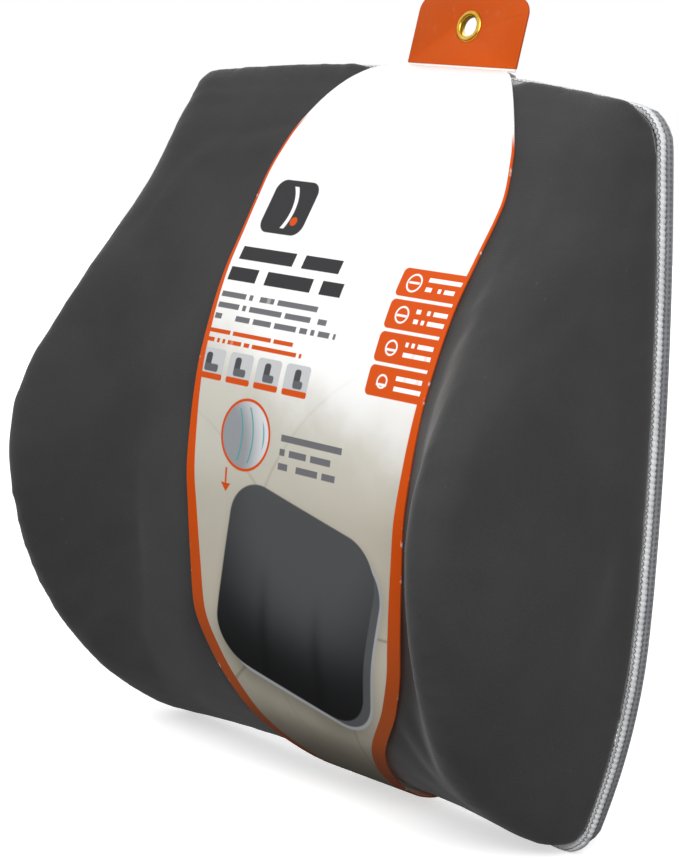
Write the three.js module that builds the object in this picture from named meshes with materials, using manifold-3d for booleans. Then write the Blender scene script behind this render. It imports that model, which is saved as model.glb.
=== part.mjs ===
// Contoured foam lumbar cushion with a zipped knit cover, a back strap and a retail card sleeve.
// Millimetres. +Z up, the front faces -Y, X runs across the width, the flat back faces +Y.
import * as THREE from 'three';
import { mergeVertices } from 'three/addons/utils/BufferGeometryUtils.js';
import Module from 'manifold-3d';

const wasm = await Module();
wasm.setup();

// ---------------------------------------------------------------- driving dimensions
const HEIGHT = 330; // bottom corners to the middle of the top edge
const WIDTH = 312; // at the widest level
const DEPTH = 138; // back face to the crest of the lumbar bulge
const GAP = 0.3; // clearance kept between touching pieces

// outline
const WIDEST_SHARE = 0.33; // level of the widest place, as a share of the height
const TOP_WIDTH_SHARE = 0.91;
const BOTTOM_WIDTH_SHARE = 0.87;
const TOP_CROWN = 11; // the top edge falls this much towards its corners
const BOTTOM_ARCH = 6.5; // the bottom edge lifts this much in the middle
const CORNER = 13; // corner radius of the outline

// front profile: depth at equal steps from the bottom edge to the top edge, as shares of DEPTH
const PROFILE = [0.33, 0.75, 0.98, 1.0, 0.74, 0.41, 0.25];
const SHOULDER = 33; // radius of the rounding between the sides and the front
const HOLLOW = 0.4; // how much shallower the middle is than the wings at the bulge
const WING = [0.57, 0.93]; // the wings rise between these shares of the half width

// cloth layers
const LAYER_GAP = 2.8; // slack between the foam, its liner and the cover
const COVER = 2.4; // padded knit of the front cover
const LINER = 0.8; // inner liner around the foam
const PIPING_RADIUS = 1.9;
const BAND_DEPTH = 6; // grey mesh band around the back edge
const BAND = 2; // thickness of the band
const PANEL = 2; // thickness of the back mesh
const LINER_SLIT = [70, 6]; // half length and half height of the liner's opening

// zipper
const ZIP_SHARE = 0.17; // level of the zipper, as a share of the height
const ZIP_CHANNEL = 5; // half height of the channel between the back panels
const TAPE = 0.8;
const TAPE_REACH = 11; // how far a tape reaches under its panel
const TAPE_INSET = 2; // from the band's inner face to a tape's end
const COIL_INSET = 10; // from a tape's end to the first tooth
const COIL = [2.5, 1.7]; // height and thickness of one row of the coil
const COIL_SPLIT = 0.5; // half of the space between the two rows
const SLIDER = [9, 1.0, 8]; // length, plate thickness and height of the slider
const SLIDER_WEB = 0.4;
const SLIDER_RIM = 0.7; // thickness of the slider's side rims
const SLIDER_POST = 2; // half length of the post between the plates
const PULL = { length: 26, half: 3.6, arm: 1.2, halfThickness: 0.45, eye: 7 };
const FINGER_HOLE = { inset: 8, halfLength: 5, halfWidth: 1.8 };
const STOP_LENGTH = 2.5;

// strap and buckle
const STRAP_SHARE = 0.55; // level of the strap, as a share of the height
const STRAP = [25, 1.6]; // width and thickness of the webbing
const PATCH = [24, 4.5, 1]; // sewn anchor patch: length, reach past the webbing and thickness
const STRAP_INSET = 7; // the strap's sewn ends stay this far inside the outline
const PATCH_OVER = 1; // the patch runs this far past the strap's sewn end
const BUCKLE_RAIL = 3.5; // the buckle reaches this far past the webbing on both sides
const BAR = 3; // bars that the webbing loops round
const WEBBING_ROOM = 1; // room beside the webbing in the buckle and the keeper
const SOCKET = [30, 9]; // length and thickness
const SOCKET_OFFSET = 41; // left outline to the socket's outer end
const PLUG = [17.7, 4.8]; // length and thickness of the plug's frame
const PRONG = 16; // reach of the prongs into the socket
const PRONG_END = 2; // room in front of the prongs' tips
const PRONG_ROOM_FREE = 0.4; // how much thinner the socket's chamber is than the plug
const ARM = [1.3, 3.5]; // a prong's outer and inner face, inside the webbing's edge
const CATCH = { from: 1.5, to: 8, proud: 0.6 }; // the prong's catch behind its tip
const SIDE_WINDOW = [2, 9]; // the socket's side windows, from the chamber's end
const TONGUE_HALF = 1.6; // half height of the plug's middle tongue
const PLUG_THIN = 1.6; // the prongs are this much thinner than the plug's frame allows
const FRAME_PROUD = 0.8; // the frame stands this far over the prongs
const WINDOW_SHARE = 2.2; // the webbing window, in bars from the frame's end
const TAIL = 30; // loose end of the webbing behind the plug
const KEEPER = [8, 0.7]; // length and wall of the keeper loop
const KEEPER_PAST = 2; // the keeper starts this far past the loose end

// care label
const LABEL = [20, 38, 0.5];
const LABEL_RISE = 4; // over the zipper's channel
const LABEL_SHARE = 0.32; // its left edge, as a share of the width

// card sleeve
const CARD = 0.6; // thickness of the card
const CARD_GAP = 1.5; // between the card and the cushion
const CARD_MARGIN = 5; // the card also rides over what rises within this distance of its edges
const CARD_OFFSET = 24; // the sleeve sits this far to the right of the middle
const CARD_WIDE = 74; // half width below the flare
const CARD_LOW = 66; // half width above the bottom taper
const CARD_NARROW = 33; // half width at the top crease
const CARD_FOOT = 27; // half width at the bottom edge
const CARD_BACK = 25; // half width of the strip on the back
const FLARE = 46; // height of the flare under the crease
const FLARE_POWER = 0.5; // below 1, the flare opens soonest at the crease
const TAPER = 64; // height of the taper above the bottom edge
const CARD_BEND = 3; // bend at the foot of the strip on the back
const CARD_STEPS = 12; // levels between the shoulders
const TAB = [32, 1.3, 8]; // height, thickness and corner radius of the hang tab
const TAB_LEAN = THREE.MathUtils.degToRad(12);
const EYELET = [5, 7, 0.4]; // hole radius, flange radius and sheet thickness
const EYELET_ROLL = 0.8; // the rolled back edge's reach past the barrel
const EYELET_DROP = 14.5; // tab's top edge to the eyelet's centre

// ---------------------------------------------------------------- materials
const cloth = (color, roughness = 0.95) => new THREE.MeshStandardMaterial({ color, roughness, metalness: 0 });
const KNIT = cloth(0x2f3031);
const FOAM = cloth(0xe6e1cf);
const LINING = cloth(0xdcdcd8);
const MESH_GREY = cloth(0x7d7f82);
const PIPING_GREY = cloth(0xb4b6b8);
const WEBBING = cloth(0x1c1c1e);
const PLASTIC = cloth(0x17181a, 0.45);
const ZIP_CLOTH = cloth(0x232426);
const PAPER = cloth(0xf4f3f1, 0.5);
const PRINT = cloth(0xcf5b1d, 0.45);
const BRASS = new THREE.MeshStandardMaterial({ color: 0xd9a72c, roughness: 0.3, metalness: 1 });
const STEEL = new THREE.MeshStandardMaterial({ color: 0x8b8d90, roughness: 0.35, metalness: 1 });

const assembly = new THREE.Group();

function addPiece(name, geometry, material, parent = assembly) {
  const mesh = new THREE.Mesh(geometry, material);
  mesh.name = name;
  parent.add(mesh);
  return mesh;
}

// ---------------------------------------------------------------- solids from points
function solid(points, triangles) {
  const geometry = new THREE.BufferGeometry();
  geometry.setAttribute('position', new THREE.Float32BufferAttribute(points.flatMap((p) => p.toArray()), 3));
  geometry.setIndex(triangles.flat());
  geometry.computeVertexNormals();
  return geometry;
}

// a closed skin over a list of equally long rings; the ends close on a centre point, or ring to ring
function skinSolid(rings, startCentre, endCentre) {
  const count = rings[0].length;
  const points = rings.flat();
  const triangles = [];
  const loops = startCentre ? rings.length - 1 : rings.length;
  for (let r = 0; r < loops; r += 1) {
    for (let i = 0; i < count; i += 1) {
      const a = r * count + i;
      const b = r * count + ((i + 1) % count);
      const c = ((r + 1) % rings.length) * count + ((i + 1) % count);
      const d = ((r + 1) % rings.length) * count + i;
      triangles.push([a, c, b], [a, d, c]);
    }
  }
  if (startCentre) {
    const first = points.push(startCentre) - 1;
    const last = points.push(endCentre) - 1;
    const base = (rings.length - 1) * count;
    for (let i = 0; i < count; i += 1) {
      triangles.push([first, i, (i + 1) % count]);
      triangles.push([last, base + ((i + 1) % count), base + i]);
    }
  }
  return solid(points, triangles);
}

// a plate in the XZ plane from y = back, towards the front by its thickness
function plate(outline, thickness, back, holes = []) {
  const shape = new THREE.Shape(outline);
  shape.holes = holes;
  const options = { depth: thickness, bevelEnabled: false, curveSegments: 10 };
  const geometry = new THREE.ExtrudeGeometry(shape, options);
  geometry.rotateX(Math.PI / 2);
  geometry.translate(0, back, 0);
  return geometry;
}

// a box from its lowest to its highest corner
function block(low, high) {
  const size = low.map((value, axis) => high[axis] - value);
  const geometry = new THREE.BoxGeometry(...size);
  return geometry.translate(...low.map((value, axis) => value + size[axis] / 2));
}

function toManifold(geometry) {
  const bare = geometry.clone();
  bare.deleteAttribute('normal');
  bare.deleteAttribute('uv');
  const merged = mergeVertices(bare, 1e-5);
  return new wasm.Manifold(new wasm.Mesh({
    numProp: 3,
    vertProperties: new Float32Array(merged.attributes.position.array),
    triVerts: new Uint32Array(merged.index.array),
  }));
}

// the first block, with the added blocks joined to it and the cut blocks taken out
function carve(base, added, cut) {
  let body = toManifold(base);
  for (const piece of added) body = body.add(toManifold(piece));
  for (const piece of cut) body = body.subtract(toManifold(piece));
  const mesh = body.getMesh();
  const geometry = new THREE.BufferGeometry();
  geometry.setAttribute('position', new THREE.BufferAttribute(new Float32Array(mesh.vertProperties), 3));
  geometry.setIndex([...mesh.triVerts]);
  geometry.computeVertexNormals();
  return geometry;
}

// ---------------------------------------------------------------- the cushion's shape
const WIDEST = HEIGHT * WIDEST_SHARE;
const SEAM = BAND_DEPTH + 2 * PIPING_RADIUS + 2 * GAP; // the front cover starts this far from the back face

function halfWidth(z) {
  const low = z < WIDEST;
  const share = low ? BOTTOM_WIDTH_SHARE : TOP_WIDTH_SHARE;
  const reach = low ? (WIDEST - z) / WIDEST : (z - WIDEST) / (HEIGHT - WIDEST);
  return (WIDTH / 2) * (1 - (1 - share) * reach ** 2);
}

const bottomEdge = (u) => BOTTOM_ARCH * (1 - u * u);
const topEdge = (u) => HEIGHT - TOP_CROWN * u * u;

// from the unit square (u across, v up, both from -1 to 1) to a place on the back face
function place(u, v) {
  const level = ((v + 1) / 2) * HEIGHT;
  const x = u * halfWidth(level);
  return [x, THREE.MathUtils.lerp(bottomEdge(u), topEdge(u), (v + 1) / 2)];
}

// smooth curve through the profile's shares
function crest(z) {
  const last = PROFILE.length - 1;
  const at = THREE.MathUtils.clamp(z / HEIGHT, 0, 1) * last;
  const i = Math.min(Math.floor(at), last - 1);
  const t = at - i;
  const share = (k) => PROFILE[THREE.MathUtils.clamp(k, 0, last)];
  const [p0, p1, p2, p3] = [share(i - 1), share(i), share(i + 1), share(i + 2)];
  const slope1 = (p2 - p0) / 2;
  const slope2 = (p3 - p1) / 2;
  const value = (2 * p1 - 2 * p2 + slope1 + slope2) * t ** 3 + (3 * p2 - 3 * p1 - 2 * slope1 - slope2) * t ** 2
    + slope1 * t + p1;
  return DEPTH * value;
}

// front depth at a place inside the unit square; rim is the distance to the outline
function frontDepth(u, v, rim) {
  const z = place(u, v)[1];
  const bulge = THREE.MathUtils.clamp(crest(z) / DEPTH, 0, 1);
  const hollow = HOLLOW * bulge * (1 - THREE.MathUtils.smoothstep(Math.abs(u), ...WING));
  const rise = Math.min(rim / SHOULDER, 1);
  return SEAM + (crest(z) * (1 - hollow) - SEAM) * Math.sqrt(1 - (1 - rise) ** 2);
}

// unit outline: a square with round corners, anticlockwise seen from the back
function unitOutline(sideSteps, cornerSteps) {
  const round = CORNER / (WIDTH / 2);
  const points = [];
  for (let side = 0; side < 4; side += 1) {
    const turn = (side * Math.PI) / 2;
    const straight = 1 - round;
    const local = [];
    for (let i = 0; i < sideSteps; i += 1) {
      local.push([1, THREE.MathUtils.lerp(-straight, straight, i / sideSteps)]);
    }
    for (let i = 0; i < cornerSteps; i += 1) {
      const angle = (i / cornerSteps) * (Math.PI / 2);
      local.push([straight + round * Math.cos(angle), straight + round * Math.sin(angle)]);
    }
    for (const [a, b] of local) {
      points.push([a * Math.cos(turn) - b * Math.sin(turn), a * Math.sin(turn) + b * Math.cos(turn)]);
    }
  }
  return points;
}

const OUTLINE = unitOutline(12, 4);
const SHOULDER_STEPS = 5;
const FRONT_STEPS = 7;

// rings from the seam over the shoulder to the middle of the front
function frontRings() {
  const rings = [];
  const ring = (scale, rim) => OUTLINE.map(([u, v]) => {
    const [x, z] = place(u * scale, v * scale);
    return new THREE.Vector3(x, -frontDepth(u * scale, v * scale, rim), z);
  });
  for (let i = 0; i <= SHOULDER_STEPS; i += 1) {
    const rim = SHOULDER * (1 - Math.cos(((i / SHOULDER_STEPS) * Math.PI) / 2));
    rings.push(ring(1 - rim / (WIDTH / 2), rim));
  }
  const inner = 1 - SHOULDER / (WIDTH / 2);
  for (let i = 1; i < FRONT_STEPS; i += 1) rings.push(ring(inner * (1 - i / FRONT_STEPS), SHOULDER));
  return rings;
}

const FRONT = frontRings();
const [CENTRE_X, CENTRE_Z] = place(0, 0);
const CENTRE = new THREE.Vector3(CENTRE_X, -frontDepth(0, 0, SHOULDER), CENTRE_Z);

// the front surface moved inwards by a distance, along its own normals
function insetFront(distance) {
  const count = OUTLINE.length;
  const rings = FRONT.map((ring, r) => ring.map((point, i) => {
    const along = ring[(i + 1) % count].clone().sub(ring[(i + count - 1) % count]);
    const above = r + 1 < FRONT.length ? FRONT[r + 1][i] : CENTRE;
    const across = above.clone().sub(r > 0 ? FRONT[r - 1][i] : point);
    const normal = across.cross(along);
    if (r === 0) normal.y = 0; // the seam's ring moves in its own plane
    normal.normalize();
    const inwards = r === 0 ? new THREE.Vector3(CENTRE_X, 0, CENTRE_Z).sub(point) : new THREE.Vector3(0, 1, 0);
    if (normal.dot(inwards) < 0) normal.negate();
    return point.clone().addScaledVector(normal, distance);
  }));
  return { rings, centre: CENTRE.clone().add(new THREE.Vector3(0, distance, 0)) };
}

// the outline on the back face moved inwards by a distance
function insetOutline(distance, y) {
  const { rings } = insetFront(distance);
  return rings[0].map((point) => new THREE.Vector3(point.x, y, point.z));
}

// ---------------------------------------------------------------- foam, liner, cover
const TAPE_BACK = -PANEL - GAP;
const TAPE_FRONT = TAPE_BACK - TAPE;
const LINER_BACK = TAPE_FRONT - 2 * GAP - SLIDER[1] - GAP;
const LINER_INSET = COVER + LAYER_GAP;
const FOAM_INSET = LINER_INSET + LINER + LAYER_GAP;
const ZIP_Z = HEIGHT * ZIP_SHARE;

function frontCover() {
  const outer = insetFront(0);
  const inner = insetFront(COVER);
  const rings = [...outer.rings.toReversed(), ...inner.rings];
  return skinSolid(rings, outer.centre, inner.centre);
}

function slitRing(y) {
  const [halfLength, halfHeight] = LINER_SLIT;
  return OUTLINE.map(([u, v]) => new THREE.Vector3(u * halfLength, y, ZIP_Z + v * halfHeight));
}

function innerLiner() {
  const outer = insetFront(LINER_INSET);
  const inner = insetFront(LINER_INSET + LINER);
  const rings = [
    ...outer.rings.toReversed(),
    insetOutline(LINER_INSET, LINER_BACK),
    slitRing(LINER_BACK),
    slitRing(LINER_BACK - LINER),
    insetOutline(LINER_INSET + LINER, LINER_BACK - LINER),
    ...inner.rings,
  ];
  return skinSolid(rings, outer.centre, inner.centre);
}

function foamCore() {
  const outer = insetFront(FOAM_INSET);
  const back = LINER_BACK - LINER - LAYER_GAP;
  const rings = [...outer.rings.toReversed(), insetOutline(FOAM_INSET, back)];
  return skinSolid(rings, outer.centre, new THREE.Vector3(CENTRE_X, back, CENTRE_Z));
}

addPiece('foam_core', foamCore(), FOAM);
addPiece('inner_liner', innerLiner(), LINING);
addPiece('front_cover', frontCover(), KNIT);

// ---------------------------------------------------------------- piping, band, back panels
function piping() {
  const sides = 8;
  const centreInset = COVER - PIPING_RADIUS;
  const centreY = -BAND_DEPTH - GAP - PIPING_RADIUS;
  const rings = [];
  for (let i = 0; i < sides; i += 1) {
    const angle = (-i / sides) * 2 * Math.PI;
    const inset = centreInset + PIPING_RADIUS * Math.cos(angle);
    rings.push(insetOutline(inset, centreY + PIPING_RADIUS * Math.sin(angle)));
  }
  return skinSolid(rings);
}

function sideBand() {
  return skinSolid([
    insetOutline(0, 0),
    insetOutline(0, -BAND_DEPTH),
    insetOutline(BAND, -BAND_DEPTH),
    insetOutline(BAND, 0),
  ].toReversed());
}

// the part of a closed outline between two levels
function clipLevels(points, low, high) {
  const cut = (list, level, keep) => list.flatMap((p, i) => {
    const q = list[(i + 1) % list.length];
    const t = (level - p.y) / (q.y - p.y);
    const crossing = keep(p.y) !== keep(q.y) ? [p.clone().lerp(q, t)] : [];
    return keep(p.y) ? [p, ...crossing] : crossing;
  });
  return cut(cut(points, low, (z) => z > low), high, (z) => z < high);
}

const PANEL_OUTLINE = insetOutline(BAND + GAP, 0).map((p) => new THREE.Vector2(p.x, p.z));
const BACK_PANELS = {
  back_panel_lower: [-HEIGHT, ZIP_Z - ZIP_CHANNEL],
  back_panel_upper: [ZIP_Z + ZIP_CHANNEL, 2 * HEIGHT],
};

addPiece('front_piping', piping(), PIPING_GREY);
addPiece('side_band', sideBand(), MESH_GREY);
for (const [name, [low, high]] of Object.entries(BACK_PANELS)) {
  addPiece(name, plate(clipLevels(PANEL_OUTLINE, low, high), PANEL, 0), MESH_GREY);
}

// ---------------------------------------------------------------- zipper
// the tapes end just inside the band
const ZIP_HALF = halfWidth(ZIP_Z - ZIP_CHANNEL - TAPE_REACH) - BAND - TAPE_INSET;
const COIL_HALF = ZIP_HALF - COIL_INSET;
const COIL_FRONT = TAPE_BACK + GAP;
const COIL_BACK = COIL_FRONT + COIL[1];
const SLIDER_X = -(COIL_HALF - SLIDER[0]);

for (const [name, side] of [['upper', 1], ['lower', -1]]) {
  const levels = (a, b) => [ZIP_Z + side * a, ZIP_Z + side * b].sort((p, q) => p - q);
  const [tapeLow, tapeHigh] = levels(COIL_SPLIT, ZIP_CHANNEL + TAPE_REACH);
  const [coilLow, coilHigh] = levels(COIL_SPLIT, COIL_SPLIT + COIL[0]);
  const tape = block([-ZIP_HALF, TAPE_FRONT, tapeLow], [ZIP_HALF, TAPE_BACK, tapeHigh]);
  const coil = block([-COIL_HALF, COIL_FRONT, coilLow], [COIL_HALF, COIL_BACK, coilHigh]);
  addPiece(`zipper_tape_${name}`, tape, ZIP_CLOTH);
  addPiece(`zipper_coil_${name}`, coil, PLASTIC);
}

for (const [name, side] of [['left', -1], ['right', 1]]) {
  const [low, high] = [side * (COIL_HALF + GAP), side * (COIL_HALF + GAP + STOP_LENGTH)].sort((p, q) => p - q);
  const half = COIL_SPLIT + COIL[0];
  const stop = block([low, COIL_FRONT, ZIP_Z - half], [high, COIL_BACK, ZIP_Z + half]);
  addPiece(`zipper_stop_${name}`, stop, STEEL);
}

// slider: two plates joined by a thin web between the coil's rows, with a bail for the pull
const BAIL = { half: 3.6, post: 1, room: 1.5, bar: 0.6, height: 1.6 };
const SLIDER_TOP = COIL_BACK + GAP + SLIDER[1];

function zipperSlider() {
  const [length, thickness, height] = SLIDER;
  const at = (x0, y0, z0, x1, y1, z1) => (
    block([SLIDER_X + x0, y0, ZIP_Z + z0], [SLIDER_X + x1, y1, ZIP_Z + z1])
  );
  const l = length / 2;
  const h = height / 2;
  const web = SLIDER_WEB / 2;
  const lowTop = TAPE_FRONT - GAP;
  const bailTop = SLIDER_TOP + BAIL.room + BAIL.bar;
  const added = [
    at(-l, lowTop - thickness, -h, l, lowTop, h),
    at(-SLIDER_POST, lowTop - thickness / 2, -web, SLIDER_POST, SLIDER_TOP - thickness / 2, web),
    at(-BAIL.half, SLIDER_TOP + BAIL.room, -BAIL.height / 2, BAIL.half, bailTop, BAIL.height / 2),
  ];
  for (const side of [-1, 1]) {
    const [z0, z1] = [side * (h - SLIDER_RIM), side * h].sort((p, q) => p - q);
    const [x0, x1] = [side * (BAIL.half - BAIL.post), side * BAIL.half].sort((p, q) => p - q);
    added.push(at(-l, COIL_FRONT + GAP, z0, l, SLIDER_TOP - thickness / 2, z1));
    added.push(at(x0, SLIDER_TOP - thickness / 2, -BAIL.height / 2, x1, bailTop, BAIL.height / 2));
  }
  return carve(at(-l, SLIDER_TOP - thickness, -h, l, SLIDER_TOP, h), added, []);
}

// pull: a cross bar under the bail, two arms and a tongue with a finger hole
const PULL_AXIS_Y = SLIDER_TOP + BAIL.room / 2;

function zipperPull() {
  const { length, half, arm, halfThickness: thick, eye: reach } = PULL;
  const shape = new THREE.Shape();
  shape.moveTo(-thick, -half);
  shape.lineTo(length - half, -half);
  shape.absarc(length - half, 0, half, -Math.PI / 2, Math.PI / 2);
  shape.lineTo(-thick, half);
  const eye = new THREE.Path();
  eye.moveTo(thick, -half + arm);
  eye.lineTo(thick, half - arm);
  eye.lineTo(reach, half - arm);
  eye.lineTo(reach, -half + arm);
  const finger = new THREE.Path();
  const { inset, halfLength, halfWidth: slim } = FINGER_HOLE;
  finger.absellipse(length - inset, 0, halfLength, slim, 0, 2 * Math.PI, true);
  shape.holes = [eye, finger];
  const options = { depth: 2 * thick, bevelEnabled: false, curveSegments: 8 };
  const geometry = new THREE.ExtrudeGeometry(shape, options);
  geometry.rotateX(Math.PI / 2);
  return geometry.translate(SLIDER_X, PULL_AXIS_Y + thick, ZIP_Z);
}

addPiece('zipper_slider', zipperSlider(), STEEL);
addPiece('zipper_pull', zipperPull(), STEEL);

// ---------------------------------------------------------------- strap, buckle, keeper
const STRAP_Z = HEIGHT * STRAP_SHARE;
const STRAP_HALF = STRAP[0] / 2;
const STRAP_END = halfWidth(STRAP_Z) - STRAP_INSET;
const STRAP_Y = GAP + PATCH[2] + GAP; // the strap's face next to the cushion
const OVER_STRAP = STRAP_Y + STRAP[1] + GAP;
const SOCKET_START = -halfWidth(STRAP_Z) + SOCKET_OFFSET;
const SOCKET_END = SOCKET_START + SOCKET[0];
const PLUG_START = SOCKET_END + GAP;
const PLUG_END = PLUG_START + PLUG[0];
const BUCKLE_HALF = STRAP_HALF + BUCKLE_RAIL;
const strapBlock = (x0, x1, y0, half = STRAP_HALF, thickness = STRAP[1]) => (
  block([x0, y0, STRAP_Z - half], [x1, y0 + thickness, STRAP_Z + half])
);

for (const [name, side] of [['left', -1], ['right', 1]]) {
  const [x0, x1] = [side * (STRAP_END - PATCH[0]), side * (STRAP_END + PATCH_OVER)].sort((p, q) => p - q);
  addPiece(`strap_patch_${name}`, strapBlock(x0, x1, GAP, STRAP_HALF + PATCH[1], PATCH[2]), WEBBING);
}
addPiece('strap_short', strapBlock(-STRAP_END, SOCKET_START + 2 * BAR, STRAP_Y), WEBBING);
addPiece('strap_long', strapBlock(PLUG_END - 2 * BAR, STRAP_END, STRAP_Y), WEBBING);
addPiece('strap_tail', strapBlock(PLUG_END + GAP, PLUG_END + GAP + TAIL, OVER_STRAP), WEBBING);

// socket: a housing open towards the plug, with side windows and a webbing bar
const PRONG_ROOM = {
  half: STRAP_HALF + WEBBING_ROOM,
  low: OVER_STRAP,
  high: OVER_STRAP + PLUG[1] - PRONG_ROOM_FREE,
};
const OUT = 1; // a cut runs this far out of the solid

function buckleSocket() {
  const low = GAP;
  const top = low + SOCKET[1];
  const box = (x0, y0, x1, y1, half) => block([x0, y0, STRAP_Z - half], [x1, y1, STRAP_Z + half]);
  const reach = SOCKET_END - PRONG - PRONG_END;
  const barRoom = STRAP_HALF + WEBBING_ROOM;
  const barFace = STRAP_Y + STRAP[1] + GAP;
  const loopEnd = SOCKET_START + 2 * BAR + OUT;
  return carve(box(SOCKET_START, low, SOCKET_END, top, BUCKLE_HALF), [], [
    box(reach, PRONG_ROOM.low, SOCKET_END + OUT, PRONG_ROOM.high, PRONG_ROOM.half),
    box(reach + SIDE_WINDOW[0], PRONG_ROOM.low, reach + SIDE_WINDOW[1], PRONG_ROOM.high, BUCKLE_HALF + OUT),
    box(SOCKET_START - OUT, low - OUT, loopEnd, barFace, barRoom),
    box(SOCKET_START + BAR, low - OUT, loopEnd, top + OUT, barRoom),
  ]);
}

// plug: a frame with a webbing window, two prongs and a guide tongue
function bucklePlug() {
  const low = OVER_STRAP + GAP;
  const top = low + PLUG[1] - PLUG_THIN;
  const box = (x0, y0, x1, y1, z0, z1) => block([x0, y0, STRAP_Z + z0], [x1, y1, STRAP_Z + z1]);
  const prong = (z0, z1, x0) => box(x0, low, PLUG_START + OUT, top, z0, z1);
  const tip = PLUG_START - PRONG;
  const frame = box(PLUG_START, low, PLUG_END, top + FRAME_PROUD, -BUCKLE_HALF, BUCKLE_HALF);
  const added = [prong(-TONGUE_HALF, TONGUE_HALF, tip)];
  for (const side of [-1, 1]) {
    const inner = side * (STRAP_HALF - ARM[1]);
    const arm = [inner, side * (STRAP_HALF - ARM[0])].sort((p, q) => p - q);
    const catchEnds = [inner, side * (STRAP_HALF + CATCH.proud)].sort((p, q) => p - q);
    added.push(prong(...arm, tip + PRONG_END));
    added.push(box(tip + CATCH.from, low, tip + CATCH.to, top, ...catchEnds));
  }
  const windowStart = PLUG_END - WINDOW_SHARE * BAR;
  const window = box(windowStart, low - OUT, PLUG_END - BAR, top + 2 * OUT, -STRAP_HALF, STRAP_HALF);
  return carve(frame, added, [window]);
}

// keeper: a flat loop round the strap and its loose end
const KEEPER_END = PLUG_END + GAP + TAIL + KEEPER_PAST;

function strapKeeper() {
  const [length, wall] = KEEPER;
  const [x0, x1] = [KEEPER_END - length, KEEPER_END];
  const low = STRAP_Y - GAP;
  const high = OVER_STRAP + STRAP[1] + GAP;
  const half = STRAP_HALF + WEBBING_ROOM;
  const outer = block([x0, low - wall, STRAP_Z - half - wall], [x1, high + wall, STRAP_Z + half + wall]);
  return carve(outer, [], [block([x0 - OUT, low, STRAP_Z - half], [x1 + OUT, high, STRAP_Z + half])]);
}

addPiece('buckle_socket', buckleSocket(), PLASTIC);
addPiece('buckle_plug', bucklePlug(), PLASTIC);
addPiece('strap_keeper', strapKeeper(), PLASTIC);

// ---------------------------------------------------------------- care label
const LABEL_LOW = ZIP_Z + ZIP_CHANNEL + LABEL_RISE;
const LABEL_X = WIDTH * LABEL_SHARE;
addPiece(
  'care_label',
  block([LABEL_X, GAP, LABEL_LOW], [LABEL_X + LABEL[0], GAP + LABEL[2], LABEL_LOW + LABEL[1]]),
  PAPER,
);

// ---------------------------------------------------------------- card sleeve
// the card is bent in one direction only, so each level takes the deepest place under its width
function cardHalfWidth(z) {
  const { clamp, lerp, mapLinear } = THREE.MathUtils;
  const straight = mapLinear(z, TAPER, HEIGHT - FLARE, CARD_LOW, CARD_WIDE);
  const top = lerp(CARD_NARROW, straight, clamp((HEIGHT - z) / FLARE, 0, 1) ** FLARE_POWER);
  const bottom = lerp(CARD_FOOT, straight, clamp((z - BOTTOM_ARCH) / TAPER, 0, 1));
  return Math.min(top, bottom);
}

function deepestUnder(z) {
  let deepest = SEAM;
  for (let step = -10; step <= 10; step += 1) {
    const x = CARD_OFFSET + (step / 10) * (cardHalfWidth(z) + CARD_MARGIN);
    const u = x / halfWidth(z);
    const v = THREE.MathUtils.mapLinear(z, bottomEdge(u), topEdge(u), -1, 1);
    const rim = Math.max(1 - Math.abs(v), 0) * (WIDTH / 2);
    deepest = Math.max(deepest, frontDepth(u, v, rim));
  }
  return deepest;
}

// a card strip along a path of [y, z] points, thickened to the outside (the left of its direction)
function cardStrip(path, inner, outer, halfWidthAt) {
  const sections = path.map(([y, z], i) => {
    const [y0, z0] = path[Math.max(i - 1, 0)];
    const [y1, z1] = path[Math.min(i + 1, path.length - 1)];
    const length = Math.hypot(y1 - y0, z1 - z0);
    const normal = [(z1 - z0) / length, -(y1 - y0) / length];
    const half = halfWidthAt(z);
    const corner = (side, distance) => new THREE.Vector3(
      CARD_OFFSET + side * half,
      y + normal[0] * distance,
      z + normal[1] * distance,
    );
    return [corner(-1, inner), corner(-1, outer), corner(1, outer), corner(1, inner)];
  });
  const points = sections.flat();
  const triangles = [];
  for (let s = 0; s + 1 < sections.length; s += 1) {
    for (let i = 0; i < 4; i += 1) {
      const a = s * 4 + i;
      const b = s * 4 + ((i + 1) % 4);
      triangles.push([a, a + 4, b + 4], [a, b + 4, b]);
    }
  }
  const end = (sections.length - 1) * 4;
  triangles.push([0, 1, 2], [0, 2, 3], [end, end + 2, end + 1], [end, end + 3, end + 2]);
  return solid(points, triangles);
}

const PIPING_RISE = 2 * PIPING_RADIUS - COVER + GAP - CARD_GAP; // the card clears the piping at both edges
const TOP_Z = HEIGHT + PIPING_RISE;
const BOTTOM_Z = bottomEdge((CARD_OFFSET + CARD_NARROW) / halfWidth(0)) - PIPING_RISE;
const CREASE_Z = TOP_Z + CARD_GAP + CARD + TAB[1] / 2 + GAP; // a folded tab stays clear of the card
const CREASE_Y = -SEAM / 2;
const BACK_Y = OVER_STRAP - CARD_GAP; // the strip on the back passes over the strap

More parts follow.
